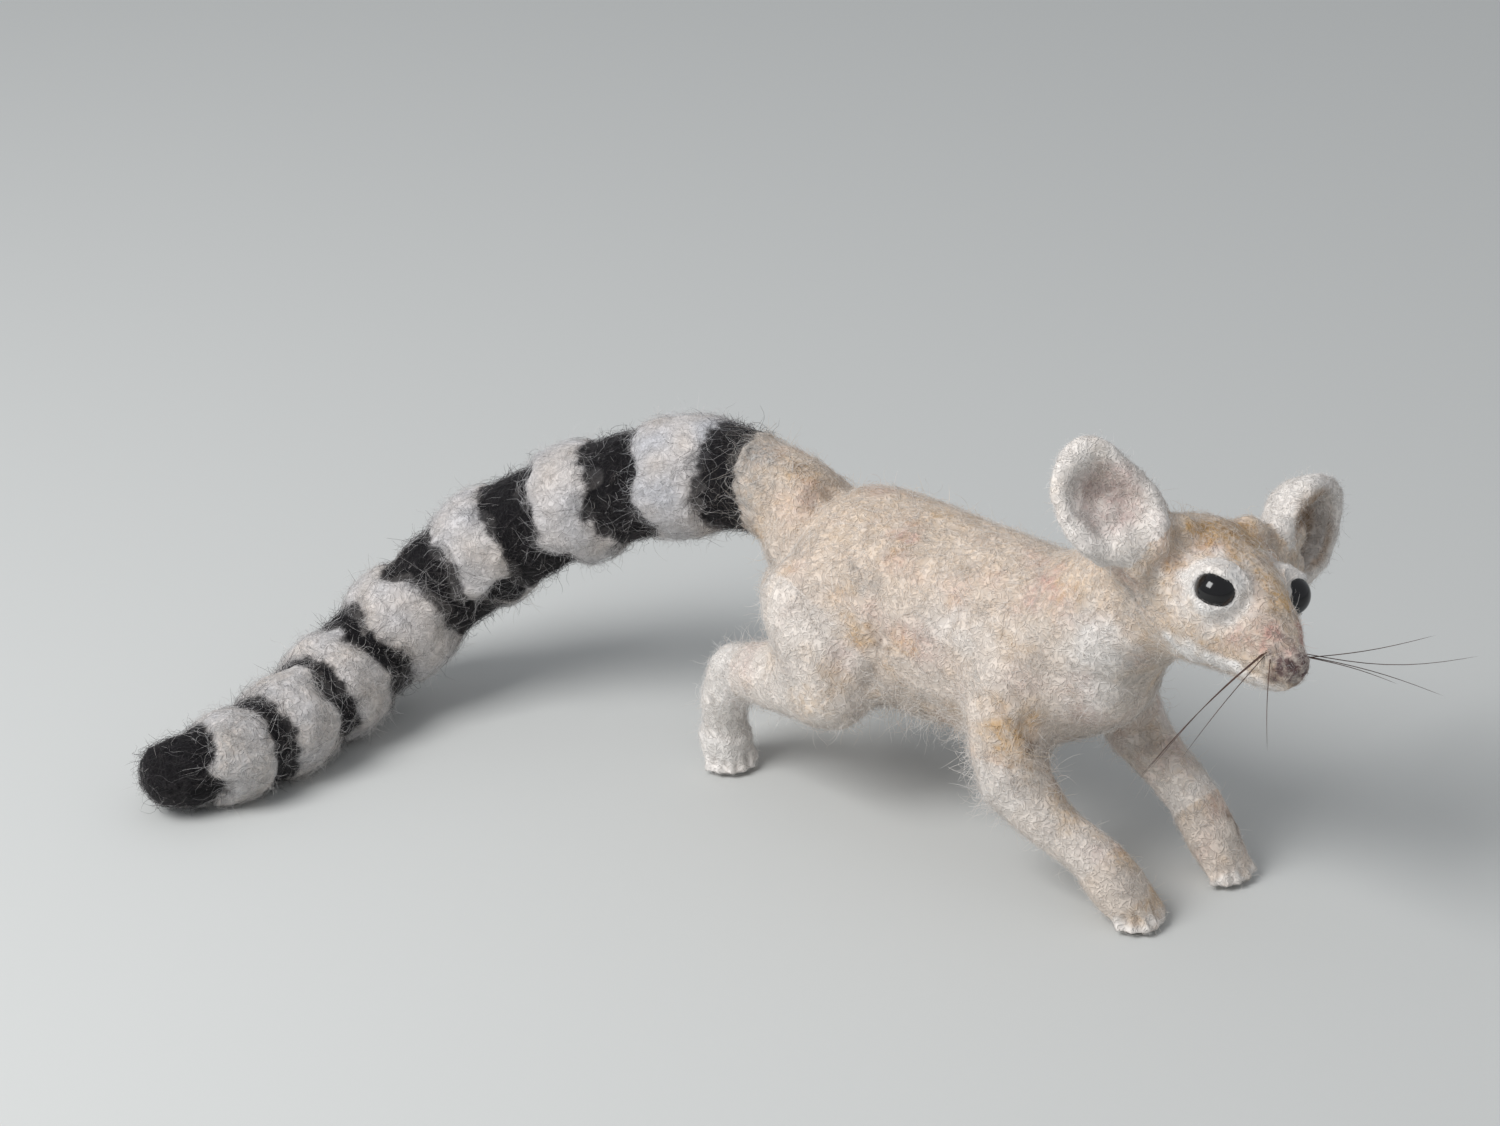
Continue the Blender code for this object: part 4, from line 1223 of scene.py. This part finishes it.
def lay(count, joints, longer, order, bend, lift, thinner):
    """Hairs that lie on the skin: their length and lift are shares of the nap's own."""
    root, normal, owner, dyes, places = ground.scatter(count, usual_density)
    depth = per_part(0)[owner] * MM
    step = per_part(1)[owner] * MM * longer * rng.uniform(0.6, 1.35, count) / (joints - 1)
    heading = lying_direction(root, normal, owner, order)
    turn = rng.normal(scale=bend, size=count)
    standing = 2.0 * (rng.random(count) < STANDING_SHARE)
    path = [root - normal * NAP_ROOT]
    foot = root
    for k in range(1, joints):
        ahead = foot + heading * step[:, None]
        found = [ground.tree.find_nearest(point)[:2] for point in ahead]
        foot = np.array([place for place, _ in found])
        up = np.array([face for _, face in found])
        rise = rng.uniform(0.2, 0.6 + 0.6 * k / joints, count) * (lift + standing * k / joints) * depth
        path.append(foot + up * rise[:, None])
        heading = in_plane(heading + np.cross(up, heading) * turn[:, None], up)
        turn = turn * 0.5 + rng.normal(scale=bend, size=count) * 0.85
    thick = per_part(2)[owner] * MM * thinner * rng.uniform(0.6, 1.3, count) / 2
    widths = thick[:, None] * taper(joints)
    return np.stack(path, axis=1), widths, stray_dyes(dyes, 0.05), rng.random(count), places


hair_pieces("nap", *lay(NAP_HAIRS, 5, 1.15, 0.35, 0.5, 0.7, 0.72))
hair_pieces("wandering_hairs", *lay(WANDERING_HAIRS, 6, 2.2, 0.2, 0.55, 0.9, 0.6))

# %% [markdown]
# ## Fly-away hairs
# A needle can't catch every fibre. The strays stand out and curl, and they tell the eye that this is
# wool and not clay. Each one turns about its own slanted axis, by an angle that drifts from step to
# step. Where the needle reaches badly, under the belly and behind the legs, they are long and many.

# %% Let some hairs fly
FLUFF_HAIRS = 5_000
FLY_HAIRS = 9_000
LOOSE_HAIRS = 2_600
FLY_JOINTS = 7
FLY_WIDTH = 0.021 * MM
FLY_ROOT = 0.1 * MM
# Each spot with loose curls: its place and its reach in millimetres.
LOOSE_SPOTS = []
for across in (0.14, 0.86):
    LOOSE_SPOTS += [(spot("haunches", 0.78, across, 0.14), 4.5), (spot("haunches", 0.98, across, 0.1), 5),
                    (spot("chest", 0.3, across, 0.12), 5), (spot("chest", 0.55, across, 0.12), 4)]
for side, inner, outer in (("right", 0.9, 0.3), ("left", 0.1, 0.7)):
    LOOSE_SPOTS += [(spot(f"hock_{side}", 0.9, 0.5, 0.7), 3.5), (spot(f"thigh_{side}", 0.9, inner, 0.1), 4),
                    (spot(f"upper_arm_{side}", 0.2, outer, 0.3), 4)]


def curls(root, normal, length, upright, turn):
    """Open curls that leave the skin at the root."""
    stray = unit(rng.normal(size=root.shape))
    heading = unit(normal * upright[:, None] + stray * (1 - upright)[:, None])
    axis = unit(rng.normal(size=root.shape) + normal * 0.6)
    path = [root - normal * FLY_ROOT]
    for _ in range(FLY_JOINTS - 1):
        path.append(path[-1] + heading * (length / (FLY_JOINTS - 1))[:, None])
        level = axis * (axis * heading).sum(axis=1, keepdims=True)
        swing = heading - level
        heading = level + swing * np.cos(turn)[:, None] + np.cross(axis, swing) * np.sin(turn)[:, None]
        turn = turn + rng.normal(0, 0.25, len(turn))
    return np.stack(path, axis=1)


def let_fly(count, density, shortest, longest, upright, turn):
    root, normal, owner, dyes, places = ground.scatter(count, density)
    scale = (per_part(1)[owner] / 2.6) ** 0.7
    length = (shortest + (longest - shortest) * rng.random(count) ** 1.7) * scale * MM
    paths = curls(root, normal, length, rng.uniform(*upright, count), rng.normal(0, turn, count))
    widths = FLY_WIDTH * rng.uniform(0.8, 1.3, count)[:, None] * taper(FLY_JOINTS, 0.4)
    return paths, widths, stray_dyes(dyes, 0.16), rng.uniform(0.4, 1.0, count), places


def near_loose_spots(points):
    near = np.zeros(len(points))
    for place, reach in LOOSE_SPOTS:
        near = np.maximum(near, bell(how_far(points, place), reach))
    return near


away_from_beads = 1 - near_beads(ground.points, 2.0)
fly_density = usual_density**0.6 * (0.15 + 0.85 * away_from_beads)
fluff_density = is_on(ground.owner, "tail") + 1.6 * is_on(ground.owner, "ear") * away_from_beads
loose_density = near_loose_spots(ground.points) + 0.0001
hair_pieces("fly_away", *let_fly(FLY_HAIRS, fly_density, 0.9, 4.2, (0.1, 0.6), 0.8))
hair_pieces("tail_fluff", *let_fly(FLUFF_HAIRS, fluff_density, 1.0, 2.6, (0.3, 0.9), 0.9))
hair_pieces("loose_curls", *let_fly(LOOSE_HAIRS, loose_density, 2.5, 6.0, (0.2, 0.7), 0.9))

# %% [markdown]
# ## Whiskers
# The whiskers are coarse dark hairs pushed through the muzzle. On the figure's right they hang in one
# loose bunch, on its left they stand out. They are thicker than wool and bare, so they get more sides.

# %% Push the whiskers through the muzzle
WHISKER_JOINTS = 10
WHISKER_WIDTH = 0.06 * MM
# Each whisker: root and tip in the face's frame, and how far its middle bows.
WHISKERS = (
    ((8.0, -3.3, -4.8), (9.6, -19.6, -20.6), (0.3, -0.9, 0.9)),
    ((7.8, -3.4, -5.0), (9.0, -19.2, -20.8), (0.5, -1.1, 0.7)),
    ((7.6, -3.4, -5.1), (9.2, -18.0, -19.6), (0.3, -0.7, 1.0)),
    ((7.9, -3.3, -5.3), (10.0, -14.2, -17.6), (0.5, -0.8, 0.4)),
    ((8.6, -3.0, -5.4), (14.6, -5.6, -14.6), (0.3, -0.6, 0.0)),
    ((8.4, 3.2, -4.6), (9.5, 32.5, -3.2), (0.4, 0.1, -1.1)),
    ((8.3, 3.3, -4.9), (11.5, 26.0, -8.0), (0.0, 0.0, 0.5)),
    ((8.3, 3.2, -5.0), (11.9, 16.5, -6.6), (0.0, 0.2, 0.3)),
    ((8.2, 3.3, -5.1), (9.7, 23.2, -0.8), (0.0, 0.0, -0.5)),
)


def whisker_material():
    """Horsehair: a smooth, dark, slightly glossy keratin rod."""
    made, tree, shader = new_material("dark_horsehair")
    place = add_node(tree, "TexCoord")
    streak = add_node(tree, "TexNoise", {"Vector": (place, "Object"), "Scale": 1 / (2.0 * MM)})
    streaked = {"Factor": (streak, "Fac"), 6: hex_colour("#241815"), 7: hex_colour("#6A4A3C")}
    tint = add_node(tree, "Mix", streaked, data_type="RGBA")
    rough = add_node(tree, "MapRange", {"Value": (streak, "Fac"), "To Min": 0.3, "To Max": 0.5})
    fill(shader, {"IOR": 1.55, "Base Color": (tint, 2), "Roughness": (rough, "Result")})
    return made


def whisker_paths():
    """Bowed lines from root to tip."""
    t = np.linspace(0, 1, WHISKER_JOINTS)[:, None]
    paths = []
    for root, tip, bow in np.array(WHISKERS):
        line = root + (tip - root) * t + bow * np.sin(pi * t)
        paths.append([on_face(*point) for point in line])
    return np.array(paths)


count = len(WHISKERS)
widths = np.full(count, WHISKER_WIDTH)[:, None] * taper(WHISKER_JOINTS)
places = np.column_stack([np.linspace(0.01, 0.9, count), np.full(count, 0.99)])
hair_piece("whiskers", whisker_paths(), widths, np.zeros((count, len(DYES))), np.zeros(count), places,
           whisker_material(), sides=5)
print("whiskers:", count)

# %% [markdown]
# ## Floor and light
# The figure stands on a plain pale floor. One broad lamp above and to its right stands for a window,
# and the pale world keeps the shadows soft. Black glass would show a second lamp as a second spot.

# %% Lay the floor
bm = bmesh.new()
bmesh.ops.create_grid(bm, x_segments=1, y_segments=1, size=2.0)
floor = link("floor", mesh_from(bm, "floor"))
floor_paint, _, floor_shader = new_material("matt_floor_paint")
fill(floor_shader, {"Base Color": hex_colour("#C9CAC8"), "Roughness": 0.9})
floor.data.materials.append(floor_paint)

# %% Light the figure
LAMP_DIRECTION = Vector((-0.20, -0.69, 0.72)).normalized()
LAMP_DISTANCE = 0.6
LAMP_SIZE = 0.30
LAMP_POWER = 3.1
WORLD_STRENGTH = 0.59
lamp = bpy.data.lights.new("window", "AREA")
lamp.size = LAMP_SIZE
lamp.energy = LAMP_POWER
window = link("window", lamp)
window.location = aim + LAMP_DIRECTION * LAMP_DISTANCE
window.rotation_euler = LAMP_DIRECTION.to_track_quat("Z", "Y").to_euler()
world = bpy.data.worlds.new("room")
world.use_nodes = True
fill(world.node_tree.nodes["Background"], {"Color": hex_colour("#DDE1E6"), "Strength": WORLD_STRENGTH})
bpy.context.scene.world = world
bpy.context.scene.view_settings.view_transform = "Standard"
print("lamp at, mm:", [round(c / MM) for c in window.location])
